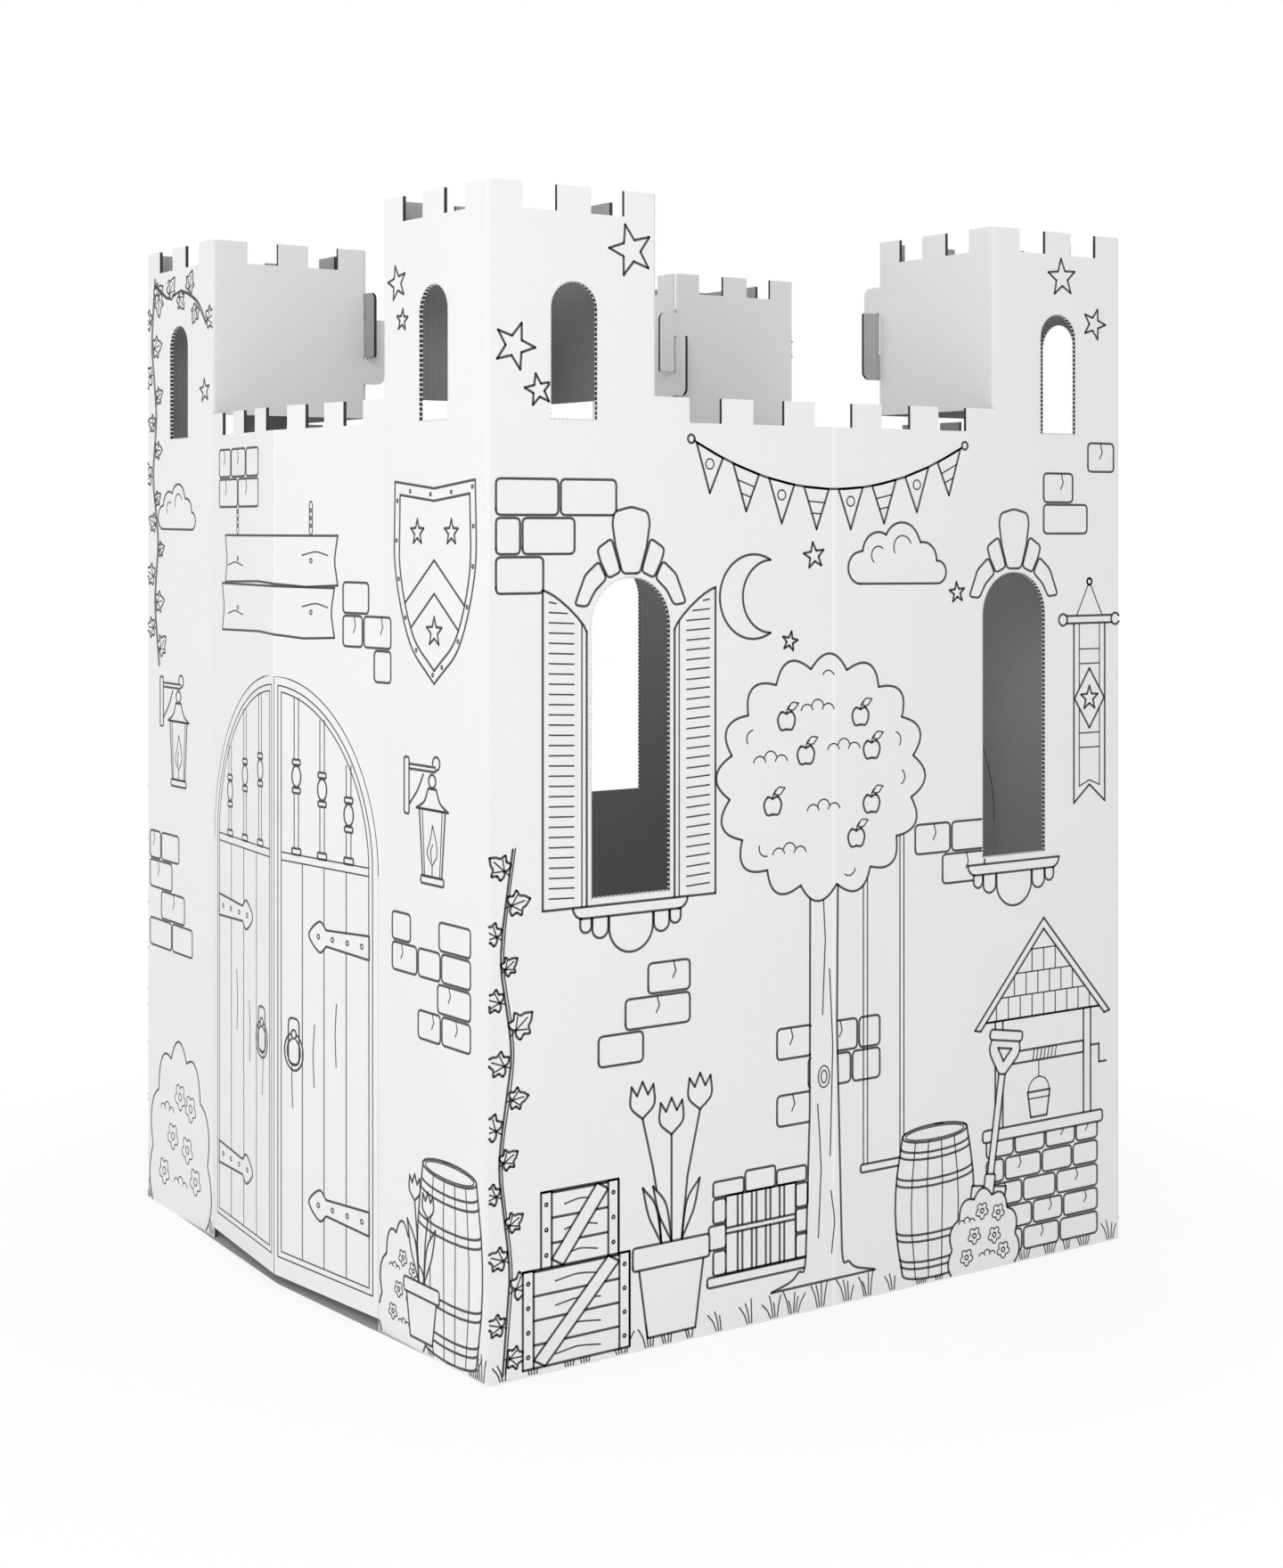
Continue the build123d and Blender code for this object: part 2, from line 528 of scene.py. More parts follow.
@dataclass(frozen=True)
class StudioFloor:
    """A matt studio floor. Off the castle the camera sees it blown out to plain white, if it is asked to."""

    name: str
    paper: str
    speck: str
    grain: float = 25.0
    blown_out: float | None = None  # share of plain white close by the castle
    near: float = 0.62  # from here out, in metres, the floor fades to plain white
    far: float = 1.15

    def build(self) -> bpy.types.Material:
        """Makes the material.

        Returns:
            The material.
        """
        material = bpy.data.materials.new(self.name)
        material.use_nodes = True
        tree = material.node_tree
        tree.nodes.clear()
        place = add_node(tree, "ShaderNodeTexCoord").outputs["Object"]
        grain = add_node(tree, "ShaderNodeTexNoise", {"Vector": place, "Scale": 1 / (self.grain * MM)})
        inputs = {"Factor": grain.outputs["Fac"], "A": linear(self.paper), "B": linear(self.speck)}
        colour = add_node(tree, "ShaderNodeMix", inputs, data_type="RGBA").outputs["Result"]
        surface = add_node(tree, "ShaderNodeBsdfDiffuse", {"Color": colour}).outputs[0]
        if self.blown_out is not None:
            reach = add_node(tree, "ShaderNodeVectorMath", {0: place}, operation="LENGTH").outputs["Value"]
            share = add_node(
                tree, "ShaderNodeMapRange",
                {"Value": reach, "From Min": self.near, "From Max": self.far, "To Min": self.blown_out},
                interpolation_type="SMOOTHSTEP",
            )
            inputs = {0: in_sight(tree), 1: share.outputs[0]}
            seen = add_node(tree, "ShaderNodeMath", inputs, operation="MULTIPLY")
            white = add_node(tree, "ShaderNodeEmission", {"Strength": 1.0})
            inputs = {0: seen.outputs[0], 1: surface, 2: white.outputs[0]}
            surface = add_node(tree, "ShaderNodeMixShader", inputs).outputs[0]
        add_node(tree, "ShaderNodeOutputMaterial", {"Surface": surface})
        return material


# The folded sheet

@dataclass
class Board:
    """A CAD node dressed as printed board: a merged copy whose faces know liner from cut edge."""

    node: str
    body: str
    materials: tuple[bpy.types.Material, ...]  # for the white liner, the grey one and the cut edge
    plan: CastlePlan = PLAN
    tolerance: float = 0.3
    pressed: float = 1.0  # how far a score may press the inner liner in
    square: float = 0.15  # a normal's share across its main axis that still counts as a flat wall
    lying: float = 0.5  # a normal's upright share from which an edge lies flat
    head_on: float = 0.7  # a normal's share from which an edge runs across a sheet, not along it
    merge: float = 0.01

    def liner_depths(self, point: Vector, axis: int) -> list[float]:
        """How deep a place lies below the outer face of each sheet that stands square to an axis.

        Args:
            point: the place, in millimetres.
            axis: 0 for sheets that face left or right, 1 for sheets that face front or back.
        Returns:
            The depths, from which the caller takes one that is within the board.
        """
        plan = self.plan
        in_tower = point.z > plan.wall_top
        if axis == 0:
            outer = plan.x_side - abs(point.x)
            return [outer, plan.tower_face - outer] if in_tower else [outer]
        back, front = plan.y_back - point.y, point.y - plan.y_front
        depths = [back, front + float(plan.bow(point.x))]
        return depths + [plan.tower_face - front, plan.tower_face - back] if in_tower else depths

    def faces_out(self, point: Vector, normal: Vector, axis: int) -> bool:
        """Whether a liner is the white one: it looks away from the room, or from the middle of its tower.

        Args:
            point: a place on the liner.
            normal: the way it faces.
            axis: 0 or 1, the main axis of the normal.
        Returns:
            True for the white liner.
        """
        plan = self.plan
        across = (point.x, point.y - plan.y_middle)[axis]
        middle = 0.0
        if point.z > plan.wall_top:
            half = (plan.x_side, plan.window_wall / 2)[axis]
            middle = math.copysign(half - plan.tower_face / 2, across)
        return (across - middle) * normal[axis] > 0

    def kind_of(self, centre: Vector, normal: Vector) -> int:
        """Says what a face is.

        Args:
            centre: the face's middle, in millimetres.
            normal: its normal.
        Returns:
            0 for the white liner, 1 for the grey one and 2 for a cut edge.
        """
        if abs(normal.z) > self.lying:
            return 2
        axis = 0 if abs(normal.x) > abs(normal.y) else 1
        rounded_fold = min(abs(normal.x), abs(normal.y)) > self.square
        depth = min(self.liner_depths(centre, axis), key=abs)
        on_sheet = abs(depth) < 2 * self.plan.board + self.tolerance
        in_core = self.tolerance < depth < self.plan.board - self.pressed
        if rounded_fold or (on_sheet and not in_core):
            return 0 if self.faces_out(centre, normal, axis) else 1
        return 2

    def edge_map(self, point: Vector, normal: Vector) -> Place:
        """Where a corner of a cut edge lies along the edge and across the board.

        Args:
            point: the corner, in millimetres.
            normal: the edge's normal.
        Returns:
            The place along and the depth below the white liner. Upright edges don't run along.
        """
        board = self.plan.board
        found = [
            (max(-depth, depth - board, 0), depth, (point.y, point.x)[axis])
            for axis in (0, 1) if abs(normal[axis]) <= self.head_on
            for depth in self.liner_depths(point, axis)
        ]
        spare, depth, along = min(found, key=lambda row: row[0])
        return (along if abs(normal.z) > self.lying else 0.0), depth

    def build(self) -> bpy.types.Object:
        """Makes the dressed copy, which stands for the node.

        Returns:
            The piece.
        """
        mesh = frame["nodes"][self.node].data.copy()
        mesh.name = f"{self.node}_board"
        work = bmesh.new()
        work.from_mesh(mesh)
        bmesh.ops.remove_doubles(work, verts=work.verts, dist=self.merge * MM)
        sheet = work.loops.layers.uv.get("Sheet") or work.loops.layers.uv.new("Sheet")
        # Marks the rounded folds, where the white liner is painted a little greyer as painted shade
        fold_shade = work.faces.layers.float.new("Fold")
        for face in work.faces:
            normal = face.normal
            face.smooth = False
            face.material_index = self.kind_of(face.calc_center_median() / MM, normal)
            face[fold_shade] = float(min(abs(normal.x), abs(normal.y)) > self.square)
            for loop in face.loops:
                point = loop.vert.co / MM
                if face.material_index == 2:
                    place = self.edge_map(point, normal)
                else:
                    sideways = abs(normal.x) > abs(normal.y)
                    place = (point.y - self.plan.y_middle if sideways else point.x, point.z)
                loop[sheet].uv = (place[0] * MM, place[1] * MM)
        mesh.materials.clear()
        for material in self.materials:
            mesh.materials.append(material)
        work.to_mesh(mesh)
        work.free()
        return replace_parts(new_piece(mesh.name, mesh, self.body), self.node)


# Work on the walls

SOCKETS = {float: "NodeSocketFloat", int: "NodeSocketInt", bpy.types.Material: "NodeSocketMaterial"}


@dataclass
class WallWork:
    """Something made flat from drawn lines by a Geometry Nodes tree, and then stood up on a wall."""

    name: str
    wall: Wall
    body: str
    material: bpy.types.Material
    plan: CastlePlan = PLAN
    label: str = "Wall work"

    def inputs(self) -> Values:
        """The values of the tree's inputs by name, in metres."""
        raise NotImplementedError

    def shapes(self, tree: NodeTree, given: bpy.types.NodeOutputs) -> Socket:
        """Adds the nodes that turn the drawn lines into shapes.

        Args:
            tree: the tree.
            given: its inputs.
        Returns:
            The socket of the geometry.
        """
        raise NotImplementedError

    def tree(self) -> NodeTree:
        """Builds the tree with its named inputs. It ends with real geometry in one material.

        Returns:
            The tree.
        """
        tree = bpy.data.node_groups.new(self.label, "GeometryNodeTree")
        for way in ("INPUT", "OUTPUT"):
            tree.interface.new_socket("Geometry", in_out=way, socket_type="NodeSocketGeometry")
        for name, value in self.inputs().items():
            socket = tree.interface.new_socket(name, in_out="INPUT", socket_type=SOCKETS[type(value)])
            socket.default_value = value
        given = add_node(tree, "NodeGroupInput").outputs
        real = add_node(tree, "GeometryNodeRealizeInstances", {0: self.shapes(tree, given)})
        inputs = {"Geometry": real.outputs[0], "Material": given["Material"]}
        dressed = add_node(tree, "GeometryNodeSetMaterial", inputs)
        add_node(tree, "NodeGroupOutput", {0: dressed.outputs[0]})
        return tree

    def made(self, runs: list[tuple[Points, float]], closed: bool = False) -> bpy.types.Mesh:
        """Puts drawn lines through the tree.

        Args:
            runs: for each line its rows of along and up, and its weight, which becomes the curve's radius.
            closed: whether every line joins up with its own start.
        Returns:
            A plain mesh that still lies flat.
        """
        curve = bpy.data.curves.new(self.name, "CURVE")
        curve.dimensions = "3D"
        curve.twist_mode = "Z_UP"
        for points, weight in runs:
            spline = curve.splines.new("POLY")
            spline.points.add(len(points) - 1)
            rows = np.c_[points * MM, np.zeros(len(points)), np.ones(len(points))]
            spline.points.foreach_set("co", rows.astype(np.float32).ravel())
            spline.points.foreach_set("radius", np.full(len(points), weight, np.float32))
            spline.use_cyclic_u = closed
        flat = in_scene(self.name, curve)
        modifier = flat.modifiers.new(self.label, "NODES")
        modifier.node_group = bpy.data.node_groups.get(self.label) or self.tree()
        values = self.inputs()
        for item in modifier.node_group.interface.items_tree:
            if item.name in values:
                modifier[item.identifier] = values[item.name]
        bpy.context.view_layer.update()
        evaluated = flat.evaluated_get(bpy.context.evaluated_depsgraph_get())
        mesh = bpy.data.meshes.new_from_object(evaluated)
        mesh.name = self.name
        bpy.data.objects.remove(flat)
        return mesh

    def stand_up(self, mesh: bpy.types.Mesh, proud: float = 0.0) -> None:
        """Moves a flat mesh on to the wall, split first where the wall is creased.

        Args:
            mesh: the mesh, along X and up Y, in metres.
            proud: how far its own middle plane stands out from the board, in millimetres.
        """
        work = bmesh.new()
        work.from_mesh(mesh)
        tower_edge = self.plan.x_side - self.plan.tower_face
        for along in (0.0, -tower_edge, tower_edge) if self.wall is Wall.FRONT else ():
            everything = work.verts[:] + work.edges[:] + work.faces[:]
            bmesh.ops.bisect_plane(work, geom=everything, plane_co=(along * MM, 0, 0), plane_no=(1, 0, 0))
        flat = np.array([v.co for v in work.verts]).reshape(-1, 3) / MM
        flat[:, 2] += proud
        for vert, place in zip(work.verts, self.plan.place(self.wall, flat) * MM):
            vert.co = place
        bmesh.ops.recalc_face_normals(work, faces=work.faces)
        work.to_mesh(mesh)
        work.free()


@dataclass
class WindowNibs(WallWork):
    """The torn nibs that a punched-out window leaves round its edge, one row through the board."""

    edge: bpy.types.Material | None = None
    label: str = "Window nibs"
    pitch: float = 5.2
    reach: float = 0.85
    sides: int = 8
    bend: int = 24
    face_on: float = 0.5  # how squarely a face must look outwards to be white

    def inputs(self) -> Values:
        """Gives the values of the tree's inputs.

        Returns:
            The values by name, in metres.
        """
        return {
            "Pitch": self.pitch * MM, "Nib Radius": self.reach * MM, "Board": self.plan.board * MM,
            "Sides": self.sides, "Material": self.material,
        }

    def shapes(self, tree: NodeTree, given: bpy.types.NodeOutputs) -> Socket:
        """Adds the nodes that set nibs at an even pitch along a line.

        Args:
            tree: the tree.
            given: its inputs.
        Returns:
            The socket of the geometry.
        """
        spaced = add_node(
            tree, "GeometryNodeResampleCurve", {"Curve": given["Geometry"], "Length": given["Pitch"]},
            mode="LENGTH",
        )
        nib = add_node(
            tree, "GeometryNodeMeshCylinder",
            {"Vertices": given["Sides"], "Radius": given["Nib Radius"], "Depth": given["Board"]},
        )
        inputs = {"Points": spaced.outputs[0], "Instance": nib.outputs["Mesh"]}
        return add_node(tree, "GeometryNodeInstanceOnPoints", inputs).outputs[0]

    def build(self) -> bpy.types.Object:
        """Makes the nibs of every window of the wall as one piece.

        Returns:
            The piece.
        """
        runs = []
        for middle, sill, rise, width in self.plan.windows(self.wall):
            turns = np.linspace(0, math.pi, self.bend)
            head = np.c_[np.cos(turns), np.sin(turns)] * width / 2 + (middle, sill + rise)
            runs.append((np.vstack([(middle - width / 2, sill), (middle + width / 2, sill), head]), 1.0))
        mesh = self.made(runs, closed=True)
        self.stand_up(mesh, -self.plan.board / 2)
        mesh.materials.append(self.edge)
        face_on = self.plan.place(self.wall, np.array([[0, 0, 1], [0, 0, 0]], float))
        outward = Vector(face_on[0] - face_on[1])
        # Faces that don't look outwards take the cut edge, with its painted shade
        for face in mesh.polygons:
            face.material_index = int(face.normal.dot(outward) < self.face_on)
        return new_piece(self.name, mesh, self.body)


# Drawing

class Pen(Enum):
    """The widths of the print's lines, in millimetres."""

    OUTLINE = 2.7
    DETAIL = 1.7


def line(*corners: Place) -> Points:
    """A run of straight stretches through the given corners."""
    return np.array(corners, float)


def arc(centre: Place, radius: float | Place, start: float, end: float) -> Points:
    """Part of a circle or an ellipse.

    Args:
        centre: its middle.
        radius: one radius, or one along and one up.
        start: where it begins, in degrees from the right, anticlockwise.
        end: where it ends.
    Returns:
        The points.
    """
    reach = np.broadcast_to(radius, 2)
    count = max(8, int(math.radians(abs(end - start)) * reach.max() / (2 * STEP)))
    turns = np.radians(np.linspace(start, end, count))
    return np.c_[centre[0] + reach[0] * np.cos(turns), centre[1] + reach[1] * np.sin(turns)]


def disc(centre: Place, radius: float | Place) -> Points:
    """A whole circle or ellipse."""
    return arc(centre, radius, 0, 360)


def smooth(*knots: Place) -> Points:
    """A soft curve through the given places.

    Args:
        knots: the places.
    Returns:
        The points.
    """
    rows = np.array(knots, float)
    rows = np.vstack([2 * rows[0] - rows[1], rows, 2 * rows[-1] - rows[-2]])
    pieces = []
    for a, b, c, d in zip(rows, rows[1:], rows[2:], rows[3:]):
        t = np.linspace(0, 1, max(4, int(np.linalg.norm(c - b) / (2 * STEP))), endpoint=False)[:, None]
        pieces.append(
            b + 0.5 * ((c - a) * t + (2 * a - 5 * b + 4 * c - d) * t ** 2 + (3 * b - a - 3 * c + d) * t ** 3)
        )
    return np.vstack(pieces + [rows[-2]])


def symmetric(half: Points) -> Points:
    """Closes an outline with its own mirror image.

    Args:
        half: the right-hand half, from its foot to its head. What lies on the middle line isn't repeated.
    Returns:
        The whole outline.
    """
    off_middle = half[np.abs(half[:, 0]) > 1e-6]
    return np.vstack([half, (off_middle * (-1, 1))[::-1]])


def rounded(corners: Points, radius: float) -> Points:
    """A closed outline with its corners rounded.

    Args:
        corners: the corners in order.
        radius: how far from each corner the round stretch starts, at most.
    Returns:
        The points, with the first one repeated at the end.
    """
    made = []
    for before, at, after in zip(np.roll(corners, 1, 0), corners, np.roll(corners, -1, 0)):
        back, on = before - at, after - at
        # Less than half of either side, so that two round stretches never meet
        cut = min(radius, np.linalg.norm(back) / 2.05, np.linalg.norm(on) / 2.05)
        start, end = at + back / np.linalg.norm(back) * cut, at + on / np.linalg.norm(on) * cut
        t = np.linspace(0, 1, 7)[:, None]
        made.append((1 - t) ** 2 * start + 2 * t * (1 - t) * at + t ** 2 * end)
    return np.vstack(made + [made[0][0]])


def box(left: float, bottom: float, right: float, top: float, radius: float = 0.0) -> Points:
    """An upright rectangle, with rounded corners if a radius is given."""
    corners = line((left, bottom), (right, bottom), (right, top), (left, top))
    return rounded(corners, radius) if radius else corners


def cup(middle: float, top: float, half: float, deep: float) -> Points:
    """A shape with a flat top, straight sides and a half-round foot."""
    return np.vstack([line((middle - half, top)), arc((middle, top - deep + half), half, 180, 360),
                      line((middle + half, top))])


def scalloped(centre: Place, reach: Place, bumps: int, depth: float, turn: float = 0.0) -> Points:
    """A closed outline of even bumps round an ellipse, as foliage and petals are drawn.

    Args:
        centre: the ellipse's middle.
        reach: its radii along and up, to the feet of the bumps.
        bumps: how many there are.
        depth: how far a bump stands out, as a share of the radius.
        turn: where the first one starts, in degrees.
    Returns:
        The points.
    """
    count = bumps * max(10, int(2 * math.pi * max(reach) / bumps / (2 * STEP)))
    t = np.linspace(0, 2 * math.pi, count + 1)
    swell = 1 + depth * np.abs(np.sin((t - math.radians(turn)) * bumps / 2))
    return np.c_[centre[0] + reach[0] * swell * np.cos(t), centre[1] + reach[1] * swell * np.sin(t)]


def inside(points: Points, outline: Points) -> np.ndarray:
    """Which points lie inside a closed outline.

    Args:
        points: the points to test.
        outline: the outline's points in order.
    Returns:
        One True or False for each point.
    """
    found = np.zeros(len(points), bool)
    near = ((points >= outline.min(0)) & (points <= outline.max(0))).all(1)
    if near.any():
        px, pz = points[near, 0][:, None], points[near, 1][:, None]
        a, b = outline, np.roll(outline, -1, 0)
        rise = b[:, 1] - a[:, 1]
        slope = (b[:, 0] - a[:, 0]) / np.where(rise == 0, 1e-9, rise)
        crosses = ((a[:, 1] > pz) != (b[:, 1] > pz)) & (px < slope * (pz - a[:, 1]) + a[:, 0])
        found[near] = crosses.sum(1) % 2 == 1
    return found


class Drawing:
    """Line art laid out flat, where each closed shape hides what it lies on."""

    def __init__(self, covers: Callable[[Points], np.ndarray], mirrored: bool = False) -> None:
        """Starts an empty drawing.

        Args:
            covers: says for each point whether there is board to print on.
            mirrored: whether the finished drawing is turned left for right.
        """
        self.covers = covers
        self.mirrored = mirrored
        self.strokes: list[tuple[Points, float]] = []
        self.axes = np.eye(2)
        self.zero = np.zeros(2)

    @contextmanager
    def at(self, along: float, up: float, size: float = 1.0, turn: float = 0.0) -> Iterator[None]:
        """Moves the drawing's zero, and scales and turns what is drawn, inside a with block.

        Args:
            along: the new zero, measured from the present one.
            up: the same, upwards.
            size: how much larger than its own sizes a thing is drawn.
            turn: how far it is turned anticlockwise, in degrees.
        Returns:
            The block's context, which puts the old zero back at its end.
        """
        axes, zero = self.axes, self.zero
        c, s = size * math.cos(math.radians(turn)), size * math.sin(math.radians(turn))
        self.zero = np.array((along, up)) @ axes + zero
        self.axes = np.array([[c, s], [-s, c]]) @ axes
        yield
        self.axes, self.zero = axes, zero

    def stroke(self, points: Points, pen: Pen = Pen.OUTLINE) -> None:
        """Draws one line.

        Args:
            points: the places that it goes through.
            pen: how wide it is.
        """
        placed = points @ self.axes + self.zero
        dense = [placed[:1]]
        for a, b in zip(placed, placed[1:]):
            count = max(1, math.ceil(np.linalg.norm(b - a) / STEP))
            dense.append(a + (b - a) * np.linspace(0, 1, count + 1)[1:, None])
        self.strokes.append((np.vstack(dense), pen.value))

    def clear(self, outline: Points) -> None:
        """Rubs out what was drawn inside an outline.

        Args:
            outline: the outline.
        """
        placed = outline @ self.axes + self.zero
        kept = []
        for points, width in self.strokes:
            kept += [(run, width) for run in self.runs(points, ~inside(points, placed))]
        self.strokes = kept

    def shape(self, outline: Points, pen: Pen = Pen.OUTLINE) -> None:
        """Draws a closed outline that hides what it lies on."""
        self.clear(outline)
        self.stroke(np.vstack([outline, outline[:1]]), pen)

    @staticmethod
    def runs(points: Points, keep: np.ndarray) -> list[Points]:
        """Splits a line into its kept stretches.

        Args:
            points: the line.
            keep: one True or False for each point.
        Returns:
            The stretches of two points or more.
        """
        edges = np.flatnonzero(np.diff(np.r_[0, keep.astype(int), 0]))
        return [points[a:b] for a, b in zip(edges[::2], edges[1::2]) if b - a > 1]

    @staticmethod
    def thinned(points: Points, bend: float = 4.0, corner: float = 28.0) -> list[Points]:
        """Drops the points that a line doesn't need, and parts it at corners so that each end is round.

        Args:
            points: the line.
            bend: how many degrees it may turn between two kept points.
            corner: from how many degrees a turn is a corner.
        Returns:
            The parts.
        """
        steps = np.diff(points, axis=0)
        moved = np.linalg.norm(steps, axis=1) > 1e-6
        points, steps = np.vstack([points[:1], points[1:][moved]]), steps[moved]
        if not len(steps):
            return []
        heading = np.degrees(np.unwrap(np.arctan2(steps[:, 1], steps[:, 0])))
        parts, kept, last = [], [points[0]], heading[0]
        for i in range(1, len(steps)):
            sharp = abs(heading[i] - heading[i - 1]) > corner
            if sharp or abs(heading[i] - last) > bend:
                kept.append(points[i])
                last = heading[i]
            if sharp:
                parts.append(np.array(kept))
                kept = [points[i]]
        return parts + [np.array(kept + [points[-1]])]

    def finished(self) -> list[tuple[Points, float]]:
        """Works out the lines as they are printed, off the holes and edges of the board.

        Returns:
            Each line with its width.
        """
        flip = (-1, 1) if self.mirrored else (1, 1)
        return [
            (part * flip, width)
            for points, width in self.strokes
            for run in self.runs(points, self.covers(points))
            for part in self.thinned(run)
        ]


# Motifs of the print, each drawn about its own zero

@dataclass
class Motif:
    """Something drawn on a wall, with the place of its zero, its size and how far it is turned."""

    along: float
    up: float
    size: float = 1.0
    turn: float = 0.0
    art: Drawing | None = field(default=None, init=False, repr=False)

    def shape(self, outline: Points, pen: Pen = Pen.OUTLINE) -> None:
        """Draws a closed outline that hides what it lies on."""
        self.art.shape(outline, pen)

    def stroke(self, points: Points) -> None:
        """Draws a bold line."""
        self.art.stroke(points, Pen.OUTLINE)

    def detail(self, points: Points) -> None:
        """Draws a fine line."""
        self.art.stroke(points, Pen.DETAIL)

    def tuft(self, spread: float) -> None:
        """Draws three small bows side by side, as leaves are hinted at in a crown or a bush."""
        for step in (-1, 0, 1):
            self.detail(arc((step * spread, -0.33 * spread * abs(step)), 0.57 * spread, 15, 165))

    def draw(self) -> None:
        """Draws it about its own zero."""
        raise NotImplementedError

    def put(self, art: Drawing) -> None:
        """Draws it in its place.

        Args:
            art: the drawing that it goes into.
        """
        self.art = art
        with art.at(self.along, self.up, self.size, self.turn):
            self.draw()


@dataclass
class Star(Motif):
    """A five-pointed star, whose size is its reach."""

    waist: float = 0.42

    def draw(self) -> None:
        """Draws its outline."""
        tips = np.arange(10)
        angles = np.radians(90 + 36 * tips)
        reach = np.where(tips % 2, self.waist, 1.0)
        self.shape(np.c_[reach * np.cos(angles), reach * np.sin(angles)])


@dataclass
class WindowSurround(Motif):
    """Arch stones round a window's head and a sill on corbels under it. Zero is the middle of the head."""

    sill: float = -291.0
    sill_half: float = 73.0
    sill_deep: float = 12.0

    def draw(self) -> None:
        """Draws the arch stones, the keystone, the corbels and the sill."""
        shoulder = line((13, 56), (29, 49), (39, 67), (43, 80), (25, 91), (20, 76))
        springer = line((31, 49), (46, 36), (55, 20), (71, 22), (58, 53), (41, 67))
        keystone = symmetric(line((11, 54), (20, 82), (24, 108), (21, 119), (0, 124)))
        for stone in (shoulder, shoulder * (-1, 1), springer, springer * (-1, 1), keystone):
            self.shape(rounded(stone, 5))
        under = self.sill - self.sill_deep
        for middle, half, deep in ((57, 7, 15), (-57, 7, 15), (39, 10, 22), (-39, 10, 22), (0, 28, 40)):
            self.shape(cup(middle, under, half, deep))
        corner = arc((self.sill_half - self.sill_deep, self.sill), self.sill_deep, 270, 360)
        self.shape(symmetric(corner))


@dataclass
class Shutter(Motif):
    """A louvred shutter standing open beside a window. Zero is the foot of its hinge."""

    side: int = 1
    rise: float = 291.0  # to the spring of the window's head
    width: float = 54.0
    arch: float = 50.0  # the head's radius
    rail: float = 8.0
    slat: float = 10.5

    def head(self, across: Points) -> Points:
        """How high the shutter stands, at distances from its hinge."""
        share = np.asarray(across) / self.width  # rises as the arch does, and dips at the outer stile
        return self.rise + self.arch * (0.98 * share ** 0.75 - 0.1 * share ** 4 - 0.12)

    def draw(self) -> None:
        """Draws the outline, the hinge stile and the slats."""
        way = (self.side, 1)
        across = np.linspace(0, self.width, 16)
        self.shape(np.vstack([line((self.width, 0), (0, 0)), np.c_[across, self.head(across)]]) * way)
        stile = 0.75 * self.rail
        self.detail(line((stile, 0), (stile, self.head(stile))) * way)
        reach = np.linspace(2 * self.rail, self.width - self.rail, 12)
        for up in np.arange(self.slat, self.rise + self.arch, self.slat):
            under = reach[self.head(reach) > up + 0.7 * self.rail]
            if len(under) > 2:
                self.detail(line((under[0], up), (under[-1], up + 1.5)) * way)


@dataclass
class Bunting(Motif):
    """A string of small flags hung in one swag. Zero is half-way between its two nails."""

    half: float = 196.0
    sag: float = 52.0
    flags: int = 8
    flag: float = 46.0

    def string(self, along: Points) -> Points:
        """How high the string hangs."""
        return self.sag * ((np.asarray(along) / self.half) ** 2 - 1)

    def draw(self) -> None:
        """Draws the flags, barred and spotted in turn, and then the string and its nails."""
        pitch = 2 * self.half / self.flags
        for number in range(self.flags):
            left = -self.half + (number + 0.14) * pitch
            right = left + 0.72 * pitch
            a, b = line((left, self.string(left)), (right, self.string(right)))
            tip = (a + b) / 2 - (0, self.flag)
            self.shape(np.array([a, b, tip]))
            if number % 2:
                for part in (0.34, 0.62):
                    self.detail(np.array([a + (tip - a) * part, b + (tip - b) * part]))
            else:
                self.detail(disc(tip + (0, 0.68 * self.flag), 5.5))
        along = np.linspace(-self.half, self.half, 60)
        self.stroke(np.c_[along, self.string(along)])
        for side in (-1, 1):
            self.shape(disc((side * self.half, 0), 4.5))


@dataclass
class Moon(Motif):
    """A crescent moon."""

    def draw(self) -> None:
        """Draws the outer and the inner curve."""
        self.shape(np.vstack([arc((0, 0), 46, 60, 300), arc((25, 0), 40, 264, 96)]))


@dataclass
class Cloud(Motif):
    """A cloud with a flat foot."""

    def draw(self) -> None:
        """Draws the outline and two swirls on its crown."""
        self.shape(np.vstack([
            arc((-53, 0), 18, 270, 110), arc((-27, 17), 23, 175, 60), arc((8, 24), 27, 140, 25),
            arc((40, 8), 20.5, 100, 10), arc((62, -6), 13, 95, -90),
        ]))
        self.detail(arc((9, 23), 13, 20, 210))
        self.detail(arc((-27, 14), 10, 50, 230))


